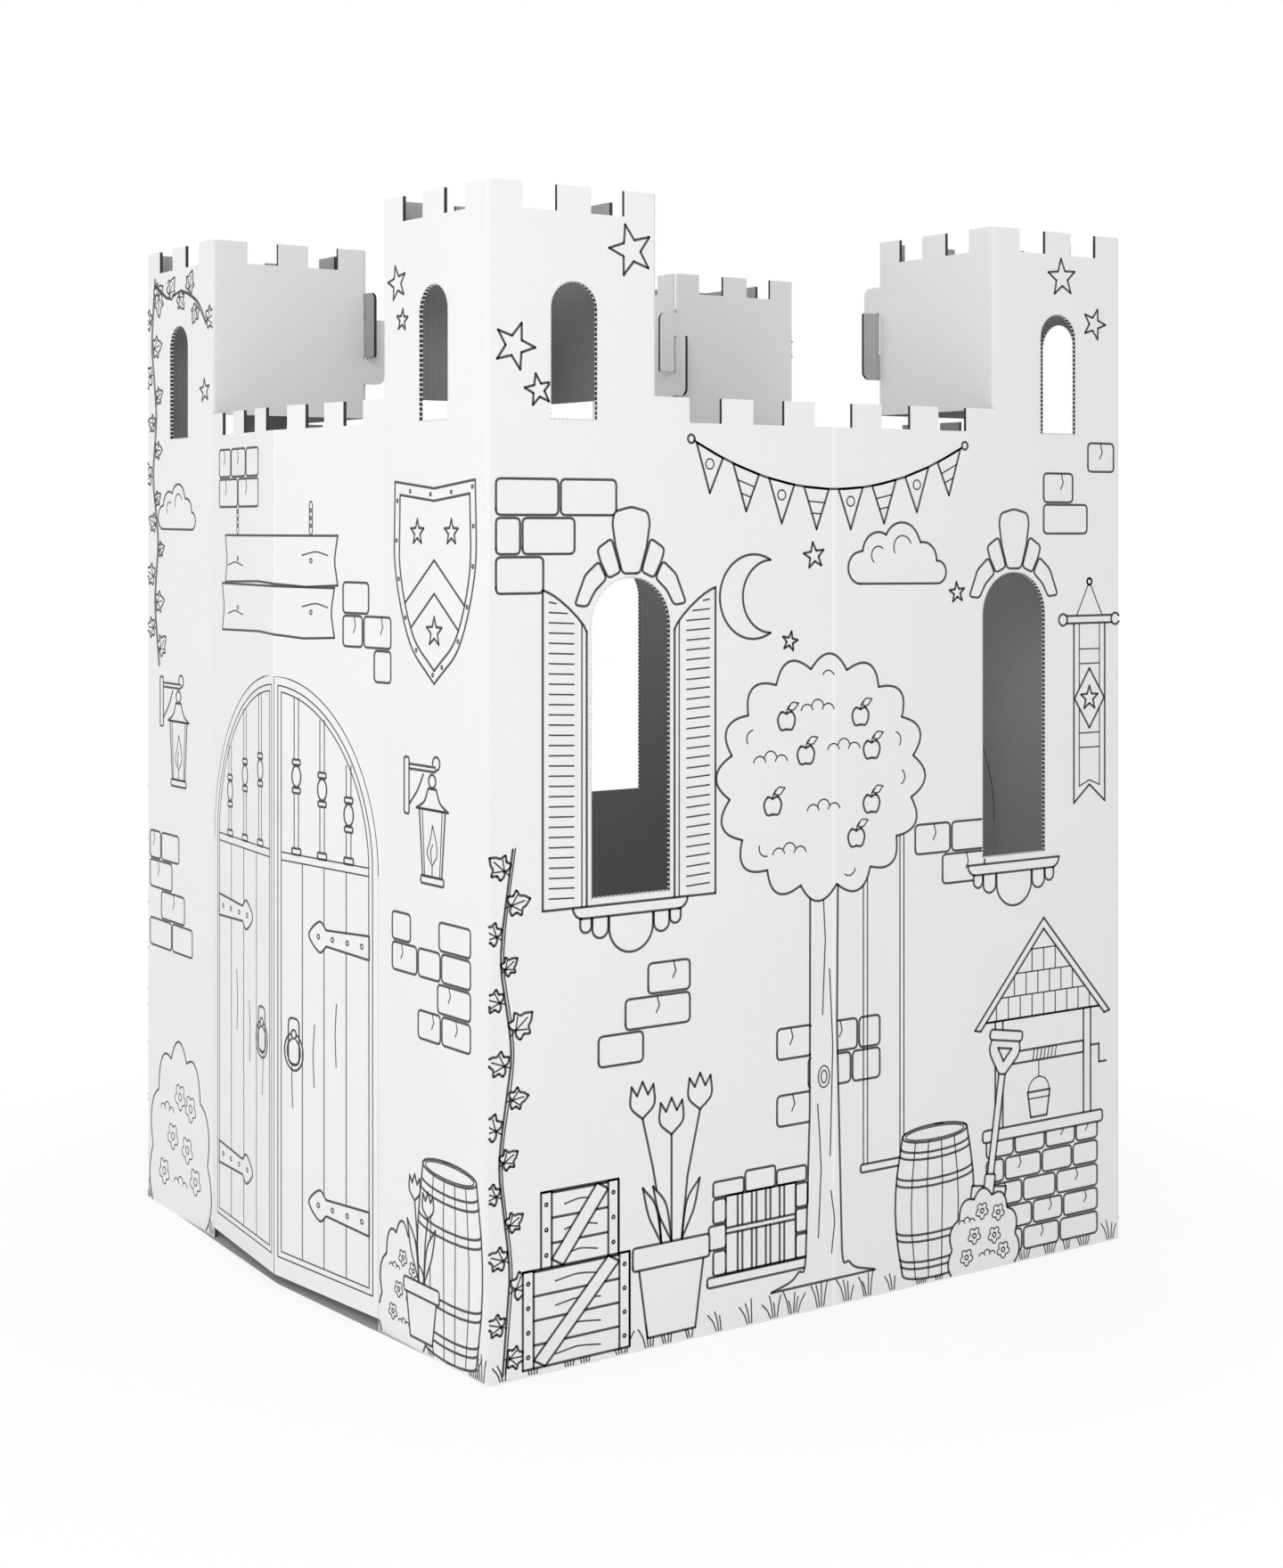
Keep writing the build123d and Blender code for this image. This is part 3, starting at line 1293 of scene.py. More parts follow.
@dataclass
class Tree(Motif):
    """A round-headed apple tree with a plank swing. Zero is the foot of its trunk."""

    crown: float = 560.0  # the height of the crown's middle
    reach: float = 132.0
    bumps: int = 16
    seed: int = 3

    def swing(self) -> None:
        """Draws the swing's ropes, two lines each, and its plank."""
        for at in (57, 63, 111, 117):
            self.detail(line((at, 120), (at, self.crown)))
        self.shape(box(53, 112, 121, 121, 3))

    def trunk(self) -> None:
        """Draws the roots and trunk, which fork into the crown, with the bark's furrows and a knot."""
        under = self.crown - 0.5 * self.reach
        self.shape(symmetric(smooth((74, 0), (38, 14), (24, 62), (20, under - 60), (52, under + 26))))
        for at, low, high in ((-8, 0.1, 0.4), (9, 0.28, 0.7), (-2, 0.6, 0.92), (11, 0.06, 0.2)):
            low, high = low * under, high * under
            self.detail(smooth((at, low), (at + 4, (low + high) / 2), (at - 1, high)))
        for reach in ((8, 12), (4, 7)):
            self.shape(disc((0, 0.46 * under), reach), Pen.DETAIL)

    def apple(self) -> None:
        """Draws one apple with its stalk and leaf."""
        self.shape(symmetric(smooth((0, -9), (8, -9), (12, 2), (7, 10), (0, 8))))
        self.detail(smooth((0, 8), (1, 13), (4, 17)))
        leaf = np.vstack([smooth((2, 13), (8, 20), (17, 19)), smooth((17, 19), (10, 12), (2, 13))])
        self.shape(leaf, Pen.DETAIL)

    def draw(self) -> None:
        """Draws the swing, the trunk, and the crown over them with its apples and leaves."""
        self.swing()
        self.trunk()
        self.shape(scalloped((0, self.crown), (self.reach, 0.92 * self.reach), self.bumps, 0.13, 8))
        rng = np.random.default_rng(self.seed)
        for row, (share, count) in enumerate(((-0.55, 2), (-0.2, 3), (0.18, 4), (0.52, 3))):
            spread = 1.5 * self.reach * math.sqrt(1 - share ** 2) / count
            for number in range(count):
                x = (number - (count - 1) / 2) * spread + rng.uniform(-9, 9)
                z = self.crown + share * self.reach + rng.uniform(-10, 10)
                with self.art.at(x, z):
                    if (number + row) % 2:
                        self.apple()
                    else:
                        self.tuft(15)
        # A small bow inside every third bump of the crown
        for lean in 8 + np.arange(0.5, self.bumps, 3) * 360 / self.bumps:
            with self.art.at(0, self.crown, turn=lean):
                self.detail(arc((0.83 * self.reach, 0), 9, -60, 60))


@dataclass
class Bush(Motif):
    """A flowering bush. Zero is its foot."""

    reach: float = 88.0
    height: float = 200.0
    bumps: int = 11
    seed: int = 1
    # Flowers and, every third one, a tuft of leaves, as shares of the reach and the height
    spots: tuple[Place, ...] = (
        (-0.55, 0.24), (-0.28, 0.5), (0.02, 0.2), (0.3, 0.46), (0.58, 0.26), (-0.46, 0.66), (0.02, 0.74),
        (0.4, 0.7),
    )

    def draw(self) -> None:
        """Draws the outline, the tufts and the five-petalled flowers."""
        low = 0.28 * self.height
        self.shape(scalloped((0, low), (self.reach, self.height - low), self.bumps, 0.13, 10))
        rng = np.random.default_rng(self.seed)
        petal = min(17.0, 0.2 * self.reach)
        for number, (across, up) in enumerate(self.spots):
            along, up = across * self.reach + rng.uniform(-4, 4), up * self.height + rng.uniform(-5, 5)
            with self.art.at(along, up):
                if number % 3 == 2:
                    self.tuft(0.8 * petal)
                else:
                    self.shape(scalloped((0, 0), (0.62 * petal, 0.62 * petal), 5, 0.6, 18), Pen.DETAIL)
                    self.shape(disc((0, 0), 0.28 * petal), Pen.DETAIL)


@dataclass
class Ivy(Motif):
    """Ivy along a stem, with leaves to both sides in turn. Zero is the foot of the stem."""

    stem: tuple[Place, ...] = ((0, 0), (0, 100))
    pitch: float = 33.0
    seed: int = 5

    def leaf(self) -> None:
        """Draws one lobed leaf, pointing up, with its stalk and veins."""
        self.shape(symmetric(smooth((0, 8), (4, 5), (10, 6), (9, 12), (13, 17), (7, 20), (5, 25), (0, 31))))
        self.detail(line((0, 0), (0, 24)))
        self.detail(line((-8, 17), (0, 8), (8, 17)))

    def draw(self) -> None:
        """Draws the stem and its leaves."""
        stem = smooth(*self.stem)
        self.stroke(stem)
        self.detail(stem + (3.2, 1.0))
        steps = np.diff(stem, axis=0)
        run = np.cumsum(np.linalg.norm(steps, axis=1))
        rng = np.random.default_rng(self.seed)
        for number, place in enumerate(np.arange(self.pitch / 2, run[-1], self.pitch)):
            i = int(np.searchsorted(run, place))
            side = 1 if number % 2 else -1
            size = rng.uniform(0.75, 1.15)
            heading = math.degrees(math.atan2(steps[i][1], steps[i][0])) - 90
            with self.art.at(*stem[i], size, heading + side * rng.uniform(52, 86)):
                self.leaf()


@dataclass
class Barrel(Motif):
    """A hooped barrel. Zero is the middle of its foot."""

    half: float = 60.0
    height: float = 156.0
    hoops: tuple[float, ...] = (0.1, 0.3, 0.7, 0.9)
    staves: int = 5

    def belly(self, share: Points) -> Points:
        """Half the barrel's width at a share of its height."""
        return self.half * (0.82 + 0.18 * np.sin(np.pi * np.asarray(share)))

    def draw(self) -> None:
        """Draws the body, the staves, the hoops and the open head."""
        share = np.linspace(0, 1, 40)
        up = share * self.height
        rim, dip = 0.82 * self.half, 0.16 * self.half
        foot, head = arc((0, 0), (rim, dip), 270, 360), arc((0, self.height), (rim, dip), 0, 90)
        self.shape(symmetric(np.vstack([foot, np.c_[self.belly(share), up], head])))
        for side in np.arange(2, 2 * self.staves, 2) / self.staves - 1:
            self.detail(np.c_[side * self.belly(share), up - dip * math.sqrt(1 - side ** 2)])
        for middle in self.hoops:
            for edge in (middle - 0.025, middle + 0.025):
                self.stroke(arc((0, edge * self.height), (self.belly(edge), dip), 180, 360))
        self.shape(disc((0, self.height), (rim, dip)))
        self.detail(disc((0, self.height), (rim - 5, dip - 2.5)))


@dataclass
class Crate(Motif):
    """A slatted crate seen square on. Zero is its lower left corner."""

    width: float = 132.0
    height: float = 100.0
    slats: int = 4
    post: float = 13.0

    def draw(self) -> None:
        """Draws the slats with their grain, the brace, the corner posts and the nails."""
        self.shape(box(0, 0, self.width, self.height))
        deep = self.height / self.slats
        lows = deep * np.arange(self.slats)
        for low in lows:
            self.stroke(line((0, low + deep - 1.5), (self.width, low + deep - 1.5)))
            grain = line((0.3, 0.4), (0.5, 0.52), (0.72, 0.38)) * (self.width, deep) + (0, low)
            self.detail(smooth(*grain))
        near, far = self.post, self.width - self.post
        self.shape(line((near, 8), (near + 14, 0), (far, self.height - 8), (far - 14, self.height)))
        for at in (0, far):
            self.shape(box(at, 0, at + self.post, self.height))
            for low in lows:
                self.detail(disc((at + self.post / 2, low + deep / 2), 1.8))


@dataclass
class PottedTulips(Motif):
    """A clay pot of tulips. Zero is the middle of its foot."""

    half: float = 50.0
    height: float = 270.0
    stems: int = 3

    def draw(self) -> None:
        """Draws the stems and leaves, the heads, and then the pot in front."""
        pot, rim = 0.36 * self.height, 0.09 * self.height
        leaf = np.vstack([smooth((0, 0), (16, 30), (24, 62)), smooth((24, 62), (7, 40), (0, 0))])
        for number in range(self.stems):
            lean = (number - (self.stems - 1) / 2) * 0.75 * self.half
            top = self.height * (0.86 - 0.08 * (number % 2))
            self.stroke(smooth((0.35 * lean, pot), (0.55 * lean, 0.6 * self.height), (lean, top)))
            self.shape(leaf * (1 if lean > 0 else -1, 1) + (0.35 * lean, pot))
            with self.art.at(lean, top, self.half / 50):
                bloom = np.vstack([smooth((0, 0), (15, 14), (14, 35)), line((7, 25), (0, 39))])
                self.shape(symmetric(bloom))
        self.shape(symmetric(line((0.62 * self.half, 0), (0.84 * self.half, pot - rim))))
        self.shape(box(-self.half, pot - rim, self.half, pot, 4))


@dataclass
class Lantern(Motif):
    """A lantern hung from a wall bracket. Zero is where the bracket's arm holds it."""

    arm: float = 52.0

    def draw(self) -> None:
        """Draws the bracket, the ring, the roof, the glass and the flame."""
        self.shape(box(-self.arm - 5, -48, -self.arm + 5, 12, 3))
        for rod in (smooth((5, -38), (22, -22), (34, -4)), line((5, 0), (58, 0)), line((5, 5), (58, 5))):
            self.stroke(rod - (self.arm, 0))
        self.stroke(arc((8, 9), 7, -100, 190))
        self.stroke(disc((0, -10), 7))
        self.shape(symmetric(smooth((32, -40), (16, -32), (8, -18))))
        self.shape(symmetric(line((19, -110), (26, -40))))
        self.shape(box(-23, -118, 23, -110, 3))
        flame = (smooth((0, -98), (-10, -86), (-4, -72), (1, -56)), smooth((1, -56), (9, -76), (9, -89)))
        self.shape(np.vstack(flame), Pen.DETAIL)
        for run in (line((0, -110), (0, -98)), line((-15, -110), (-20, -40)), line((15, -110), (20, -40)),
                    smooth((-1, -93), (-3, -84), (1, -76))):
            self.detail(run)


@dataclass
class Shield(Motif):
    """A heater shield with a chevron, stars and studs. Zero is its middle."""

    studs: int = 14

    def draw(self) -> None:
        """Draws the rim, the field, the chevron, the stars and the studs."""
        edge = symmetric(np.vstack([
            smooth((0, -104), (50, -62), (80, 17), (80, 108)), smooth((80, 108), (40, 103), (0, 100)),
        ]))
        field_edge = 0.87 * edge
        self.shape(edge)
        self.shape(field_edge)
        for peak in (25, -10):
            for side in (-1, 1):
                ray = np.linspace((0, peak), (80 * side, peak - 62), 90)
                self.stroke(ray[inside(ray, field_edge)])
        for along, up, reach in ((0, -50, 16), (-34, 54, 14), (34, 54, 14)):
            Star(along, up, reach).put(self.art)
        for place in range(10, len(edge), len(edge) // self.studs):
            self.detail(disc(0.935 * edge[place], 1.8))


@dataclass
class Banner(Motif):
    """A swallow-tailed banner hung from a pole. Zero is the middle of the pole."""

    half: float = 26.0
    height: float = 220.0

    def draw(self) -> None:
        """Draws the cord, the cloth with its border, bars and lozenge, and the pole."""
        self.detail(line((4 - self.half, 4), (0, 46), (self.half - 4, 4)))
        self.shape(disc((0, 46), 4))
        for inset, pen in ((0.0, Pen.OUTLINE), (9.0, Pen.DETAIL)):
            edge, low = self.half - inset, 2.2 * inset - self.height
            self.shape(symmetric(line((0, 21 - self.height + 0.6 * inset), (edge, low), (edge, 0))), pen)
        for share in (0.16, 0.24, 0.62, 0.70):
            self.detail(line((9 - self.half, -share * self.height), (self.half - 9, -share * self.height)))
        with self.art.at(0, -0.43 * self.height):
            self.shape(line((0, 36), (25, 0), (0, -36), (-25, 0)))
            Star(0, 0, 15).put(self.art)
        self.shape(box(-self.half - 14, -4, self.half + 14, 5, 3))
        for side in (-1, 1):
            self.shape(disc((side * (self.half + 18), 0.5), 7))


@dataclass
class StonePatch(Motif):
    """Rounded stones in courses, some left out unless the patch is whole. Zero is its lower left corner."""

    width: float = 150.0
    height: float = 110.0
    courses: int = 3
    whole: bool = False
    seed: int = 0
    joint: float = 3.0

    def draw(self) -> None:
        """Draws the stones course by course, about half of them with a crack from the top."""
        rng = np.random.default_rng(self.seed)
        deep = self.height / self.courses
        if self.whole:
            self.art.clear(box(0, 0, self.width, self.height))
        for course in range(self.courses):
            low, top = course * deep, (course + 1) * deep - self.joint
            end = -0.7 * deep if course % 2 else 0.0
            while end < self.width - 0.5 * deep:
                start = max(end, 0.0)
                end += deep * rng.uniform(1.4, 2.1)
                if end > self.width - 0.6 * deep:
                    end = self.width
                if (self.whole or rng.random() > 0.45) and end - start > 0.5 * deep:
                    self.shape(box(start, low, end - self.joint, top, 6))
                    if rng.random() < 0.5:
                        at = start + rng.uniform(0.3, 0.6) * (end - start)
                        crack = line((at, top), (at + 3, top - 0.3 * deep), (at - 1, top - 0.5 * deep))
                        self.detail(crack)


@dataclass
class Well(Motif):
    """A stone well with a shingled roof, a windlass and a bucket. Zero is the middle of its foot."""

    eaves: float = 274.0
    peak: float = 380.0
    wide: float = 103.0  # half the roof at its eaves
    rows: int = 4
    shingle: float = 19.0

    def windlass(self) -> None:
        """Draws the posts, the axle with its rope and crank, and the bucket."""
        for side in (-1, 1):
            self.shape(box(72 * side - 6, 144, 72 * side + 6, self.eaves))
        self.shape(box(-66, 221, 66, 235, 3))
        for at in range(-18, 24, 6):
            self.detail(line((at, 221), (at + 3, 235)))
        self.stroke(line((78, 228), (92, 228), (92, 206), (104, 206)))
        with self.art.at(-8, 184):
            self.detail(line((0, 37), (0, 17)))
            self.detail(arc((0, 0), 17, 0, 180))
            self.shape(symmetric(line((13, -30), (18, 0))))
            self.detail(line((-17, -8), (17, -8)))

    def roof(self) -> None:
        """Draws the shingles in rows and the boards along the gable."""
        self.shape(line((-self.wide, self.eaves), (self.wide, self.eaves), (0, self.peak)))
        step = (self.peak - self.eaves) / self.rows
        for row in range(self.rows):
            low = self.eaves + row * step
            reach, above = (self.wide * (self.rows - row - up) / self.rows for up in (0, 1))
            self.detail(line((-reach, low), (reach, low)))
            for at in self.shingle * (np.arange(-5, 6) + 0.5 * (row % 2)):
                if abs(at) < above - 1:
                    self.detail(line((at, low), (at, low + step)))
        edge, low = self.wide + 7, self.eaves - 7
        board = line((0, self.peak - 4), (edge - 9, low - 2), (edge, low), (0, self.peak + 9))
        self.shape(symmetric(board))

    def draw(self) -> None:
        """Draws the windlass, the roof and the stone ring in front."""
        self.windlass()
        self.roof()
        StonePatch(-92, 0, width=184, height=144, courses=5, whole=True, seed=4).put(self.art)
        self.shape(box(-98, 134, 98, 148, 5))


@dataclass
class Grille(Motif):
    """A low barred opening in a frame of stones. Zero is the opening's lower left corner."""

    width: float = 96.0
    height: float = 84.0
    stone: float = 17.0
    bars: int = 4

    def draw(self) -> None:
        """Draws the frame's stones and then the bars."""
        deep, long = self.height / 3, (self.width + 2 * self.stone) / 3
        for number in range(3):
            low, out = number * deep, self.stone + (6 if number % 2 else 0)
            self.shape(box(-out, low, 0, low + deep - 2, 4))
            self.shape(box(self.width, low, self.width + out, low + deep - 2, 4))
            at = number * long - self.stone
            self.shape(box(at, self.height, at + long - 2, self.height + out, 4))
        self.shape(box(-self.stone - 8, -12, self.width + self.stone + 8, -1, 4))
        self.shape(box(0, 0, self.width, self.height))
        for at in self.width * np.arange(1, self.bars + 1) / (self.bars + 1):
            self.shape(box(at - 3.2, 0, at + 3.2, self.height))
        self.shape(box(0, 0.55 * self.height - 3, self.width, 0.55 * self.height + 3))


@dataclass
class Spade(Motif):
    """A garden spade. Zero is the tip of its blade."""

    def draw(self) -> None:
        """Draws the shaft, the handle and the blade."""
        self.shape(box(-5, 70, 5, 210))
        self.shape(symmetric(smooth((5, 208), (23, 232), (22, 250))))
        self.shape(line((-11, 238), (11, 238), (0, 223)))
        self.shape(box(-26, 247, 26, 259, 5))
        self.shape(symmetric(np.vstack([smooth((0, 0), (18, 8), (27, 30)), line((27, 78))])))
        self.shape(box(-8, 66, 8, 92, 3))
        for side in (-1, 1):
            self.detail(line((12 * side, 66), (10 * side, 36)))


@dataclass
class Grass(Motif):
    """Tufts of grass along the floor, to the right of its zero."""

    length: float = 200.0
    pitch: float = 34.0
    seed: int = 2

    def draw(self) -> None:
        """Draws each tuft of three to five blades."""
        rng = np.random.default_rng(self.seed)
        tufts = np.arange(0, self.length, self.pitch)
        for tuft in tufts + rng.uniform(-10, 10, len(tufts)):
            for blade in range(rng.integers(3, 6)):
                at, lean, tall = tuft + 3 * blade, 5 * blade - 10 + rng.uniform(-2, 2), rng.uniform(16, 30)
                self.detail(smooth((at, 2), (at + 0.4 * lean, 0.6 * tall), (at + lean, tall)))


@dataclass
class BlankSign(Motif):
    """A blank sign of two planks hung on chains. Zero is its middle."""

    half: float = 150.0
    plank: float = 58.0
    hang: float = 100.0  # from the middle to each chain

    def draw(self) -> None:
        """Draws the chains, the planks, their grain and the nails."""
        for side in (-1, 1):
            for link in range(4):
                self.detail(disc((side * self.hang, self.plank + 5 + 8.5 * link), (3.4, 6)))
        for low, skew in ((-self.plank, -5), (0, 6)):
            high, left, right = low + self.plank - 2, skew - self.half, self.half + 0.6 * skew
            middle = (low + high) / 2
            self.shape(np.vstack([
                smooth((left, low), (-45, low + 3), (60, low - 2), (right, low + 1)),
                smooth((right, low + 1), (right - 6, middle), (right, high)),
                smooth((right, high), (30, high - 2), (left, high)),
                smooth((left, high), (left + 6, middle), (left, low)),
            ]))
            for side, lift in ((-1, -8), (1, 6)):
                grain = line((16, lift), (40, lift + 4), (68, lift)) * (-side, 1)
                self.detail(smooth(*(grain + (side * self.half, middle))))
                self.detail(disc((side * self.hang, middle), 2.4))


@dataclass
class DoorLeafArt(Motif):
    """A planked right-hand door leaf with a barred head. Zero is the middle of the doorway's floor."""

    half: float = 208.0
    spring: float = 490.0
    low: float = 34.0
    inset: float = 11.0
    band: float = 7.0
    meeting: float = 8.0
    planks: int = 4
    bars: int = 3

    def frame(self) -> None:
        """Draws the leaf's frame as two lines."""
        for step in (0, self.band):
            reach, near, foot = self.half - self.inset - step, self.meeting + step, self.low + step
            head = arc((0, self.spring), reach, 0, math.degrees(math.acos(near / reach)))
            self.detail(np.vstack([line((near, foot), (reach, foot)), head, line((near, foot))]))

    def bar(self, tall: float) -> None:
        """Draws one turned bar about its foot.

        Args:
            tall: its height.
        """
        for edge in (-4.5, 4.5):
            self.detail(line((edge, 0), (edge, tall)))
        self.shape(disc((0, tall / 2), (9, 12)))
        for up in (tall / 2 - 16, tall / 2 + 16):
            self.shape(box(-8, up - 3, 8, up + 3, 2.5))
        self.shape(box(-9, 0, 9, 7, 2))

    def strap(self) -> None:
        """Draws one strap hinge with its nails, about the middle of its root."""
        tip = smooth((-83, 9), (-97, 17), (-118, 0), (-97, -17), (-83, -9))
        self.shape(np.vstack([line((0, 13)), tip, line((0, -13))]))
        for at in (-14, -42, -71, -99):
            self.detail(disc((at, 0), 2.6))

    def ring(self) -> None:
        """Draws the ring handle on its plate."""
        self.shape(box(-11, -26, 11, 26, 8))
        self.shape(disc((0, 8), 5))
        for reach in (19.0, 13.5):
            self.stroke(arc((0, -12), (reach, 1.1 * reach), 112, 428))

    def draw(self) -> None:
        """Draws the frame, the bars, the transom, the planks and the ironwork."""
        self.frame()
        left, right = self.meeting + self.band, self.half - self.inset - self.band
        rail = self.spring + self.band
        for number in range(self.bars):
            at = left + (right - left) * (number + 0.6) / (self.bars + 0.35)
            with self.art.at(at, rail):
                self.bar(math.sqrt(right ** 2 - at ** 2) - self.band)
        for up in (rail - 9, rail):
            self.detail(line((left, up), (right, up)))
        for number in range(1, self.planks):
            at, knot = left + (right - left) * number / self.planks, 180 + 30 * number
            self.detail(line((at, self.low + self.band), (at, rail - 9)))
            self.detail(smooth((at - 20, knot), (at - 22, knot + 35), (at - 19, knot + 70)))
        for up in (110, 410):
            with self.art.at(right, up):
                self.strap()
        with self.art.at(left + 26, 285):
            self.ring()


# The prints

@dataclass
class Print(WallWork):
    """One wall's or leaf's line print: a drawing turned into thin inked ribbons that lie on the board."""

    motifs: list[Motif] = field(default_factory=list)
    on_leaf: bool = False
    mirrored: bool = False
    label: str = "Inked line"
    thickness: float = 0.3
    cap_sides: int = 8
    wall_margin: float = 2.0  # how far the print keeps from any edge
    leaf_margin: float = 1.5

    def covers(self, points: Points) -> np.ndarray:
        """Says where there is board to print on.

        Args:
            points: rows of along and up.
        Returns:
            One True or False for each point.
        """
        along, up = points.T
        plan = self.plan
        if self.on_leaf:
            edge = self.leaf_margin
            half = plan.doorway_width / 2 - plan.kerf - edge
            under = (up < plan.doorway_rise) | (np.hypot(along, up - plan.doorway_rise) < half)
            return (along > edge) & (along < half) & (up > plan.leaf_clearance + edge) & under
        edge = self.wall_margin
        on = (np.abs(along) < plan.width(self.wall) / 2 - edge) & (up > edge)
        for shift in (-edge, 0, edge):
            on &= up < plan.top_edge(self.wall, along + shift) - edge
        holes = plan.windows(self.wall)
        if self.wall.has_doors:
            holes.append((0.0, -edge, plan.doorway_rise + edge, plan.doorway_width))
        for middle, sill, rise, width in holes:
            half, above = width / 2 + edge, up - sill - rise
            in_body = (np.abs(along - middle) < half) & (up > sill - edge) & (above < 0)
            on &= ~(in_body | (np.hypot(along - middle, above) < half) & (above >= 0))
        return on

    def inputs(self) -> Values:
        """Gives the values of the tree's inputs.

        Returns:
            The values by name, in metres.
        """
        return {
            "Pen Width": MM, "Ink Depth": self.thickness * MM, "Cap Sides": self.cap_sides,
            "Material": self.material,
        }

    def shapes(self, tree: NodeTree, given: bpy.types.NodeOutputs) -> Socket:
        """Adds the nodes that give every drawn line its width, with a round cap at each end.

        Args:
            tree: the tree.
            given: its inputs.
        Returns:
            The socket of the geometry.
        """
        level = add_node(tree, "GeometryNodeSetCurveNormal", {"Curve": given["Geometry"]}, mode="Z_UP")
        weight = add_node(tree, "GeometryNodeInputRadius")
        profile = add_node(
            tree, "GeometryNodeCurvePrimitiveQuadrilateral",
            {"Width": given["Pen Width"], "Height": given["Ink Depth"]},
        )
        ribbon = add_node(
            tree, "GeometryNodeCurveToMesh",
            {"Curve": level.outputs[0], "Profile Curve": profile.outputs[0], "Scale": weight.outputs[0],
             "Fill Caps": True},
        )
        half = add_node(tree, "ShaderNodeMath", {0: given["Pen Width"], 1: 0.5}, operation="MULTIPLY")
        cap = add_node(
            tree, "GeometryNodeMeshCylinder",
            {"Vertices": given["Cap Sides"], "Radius": half.outputs[0], "Depth": given["Ink Depth"]},
        )
        ends = add_node(tree, "GeometryNodeCurveEndpointSelection")
        caps = add_node(
            tree, "GeometryNodeInstanceOnPoints",
            {"Points": level.outputs[0], "Selection": ends.outputs[0], "Instance": cap.outputs["Mesh"],
             "Scale": weight.outputs[0]},
        )
        both = add_node(tree, "GeometryNodeJoinGeometry", {0: ribbon.outputs[0]})
        tree.links.new(caps.outputs[0], both.inputs[0])
        return both.outputs[0]

    def build(self) -> bpy.types.Object:
        """Draws the motifs and lays the ink on the board.

        Returns:
            The piece.
        """
        art = Drawing(self.covers, self.mirrored)
        for motif in self.motifs:
            motif.put(art)
        mesh = self.made(art.finished())
        # A wider pen has made its ink deeper too, so all of it is levelled
        places = np.empty(len(mesh.vertices) * 3, np.float32)
        mesh.vertices.foreach_get("co", places)
        places[2::3] = np.sign(places[2::3]) * self.thickness / 2 * MM
        mesh.vertices.foreach_set("co", places)
        self.stand_up(mesh)
        return new_piece(self.name, mesh, self.body)


@dataclass
class WallArt:
    """Which motifs go where on the two kinds of wall."""

    plan: CastlePlan = PLAN

    def window_wall(self) -> list[Motif]:
        """Lays out the wall with two windows, as the right-hand one has it.

        Returns:
            Its motifs, each over the ones before it.
        """
        plan = self.plan
        window = plan.window_wall / 2 - plan.side_window_inset
        hinge, foot = plan.side_window_width / 2 + 6, plan.side_window_sill - 8
        spring = plan.side_window_sill + plan.side_window_rise
        return [
            StonePatch(-440, 800, width=150, height=120, seed=11),
            StonePatch(322, 860, width=120, height=112, seed=13),
            StonePatch(-80, 210, seed=15),
            StonePatch(120, 420, width=110, seed=16),
            StonePatch(-345, 270, height=140, courses=4, seed=17),
            Bunting(0, 962),
            Moon(-112, 792),
            Cloud(92, 822),
            Star(-28, 836, 15, 8), Star(-62, 742, 11, -12), Star(184, 792, 12, 5),
            Grille(-150, 62),
            Tree(-14, 30),
            Banner(398, 756),
            Ivy(-432, 8, stem=((0, 0), (8, 102), (-4, 212), (10, 322), (-2, 422), (12, 532)), seed=8),
            Grass(-430, 0, length=870),
            PottedTulips(-222, 12),
            Crate(-408, 8),
            Crate(-386, 108, width=96, height=78, slats=3),
            Barrel(150, 16),
            Well(322, 14),
            Spade(222, 20, turn=-9),
            Bush(226, 0, reach=50, height=88, seed=6),
            WindowSurround(-window, spring), WindowSurround(window, spring),
            Shutter(-window - hinge, foot, side=-1), Shutter(-window + hinge, foot, side=1),
            Star(-274, 1158, 28, 16), Star(-418, 1052, 25, -20), Star(-389, 1008, 17, 12),
            Star(352, 1166, 23, 4), Star(406, 1113, 19, -18),
        ]

    def door_wall(self) -> list[Motif]:
        """Lays out the wall with the double doors, as the front one has it.

        Returns:
            Its motifs, each over the ones before it.
        """
        return [
            StonePatch(-415, 330, width=140, height=150, courses=4, seed=21),
            StonePatch(236, 330, width=160, height=130, courses=4, seed=22),
            StonePatch(-190, 892, width=140, height=72, courses=2, seed=23),
            StonePatch(140, 700, width=96, seed=24),
            Ivy(-386, 690, seed=9, stem=(
                (0, 0), (-14, 80), (-4, 160), (-20, 240), (-10, 320), (-24, 410), (-14, 496),
            )),
            Ivy(-400, 1178, seed=10, stem=((0, 0), (44, -20), (86, -14), (134, -30), (164, -60))),
            Grass(-420, 0, length=205), Grass(215, 0, length=205, seed=7),
            Bush(-318, 0, seed=2),
            Barrel(352, 14, half=64, height=186),
            Bush(258, 0, reach=44, height=118, seed=4),
            PottedTulips(296, 12, half=36, height=168, stems=2),
            BlankSign(-24, 802),
            Shield(322, 808),
            Lantern(-322, 664, 1.05), Lantern(318, 612),
            Star(246, 1128, 19, 12), Star(257, 1088, 12, -6), Star(-240, 1036, 15, 5),
            Cloud(-330, 880, 0.82),
        ]


# The room round the castle

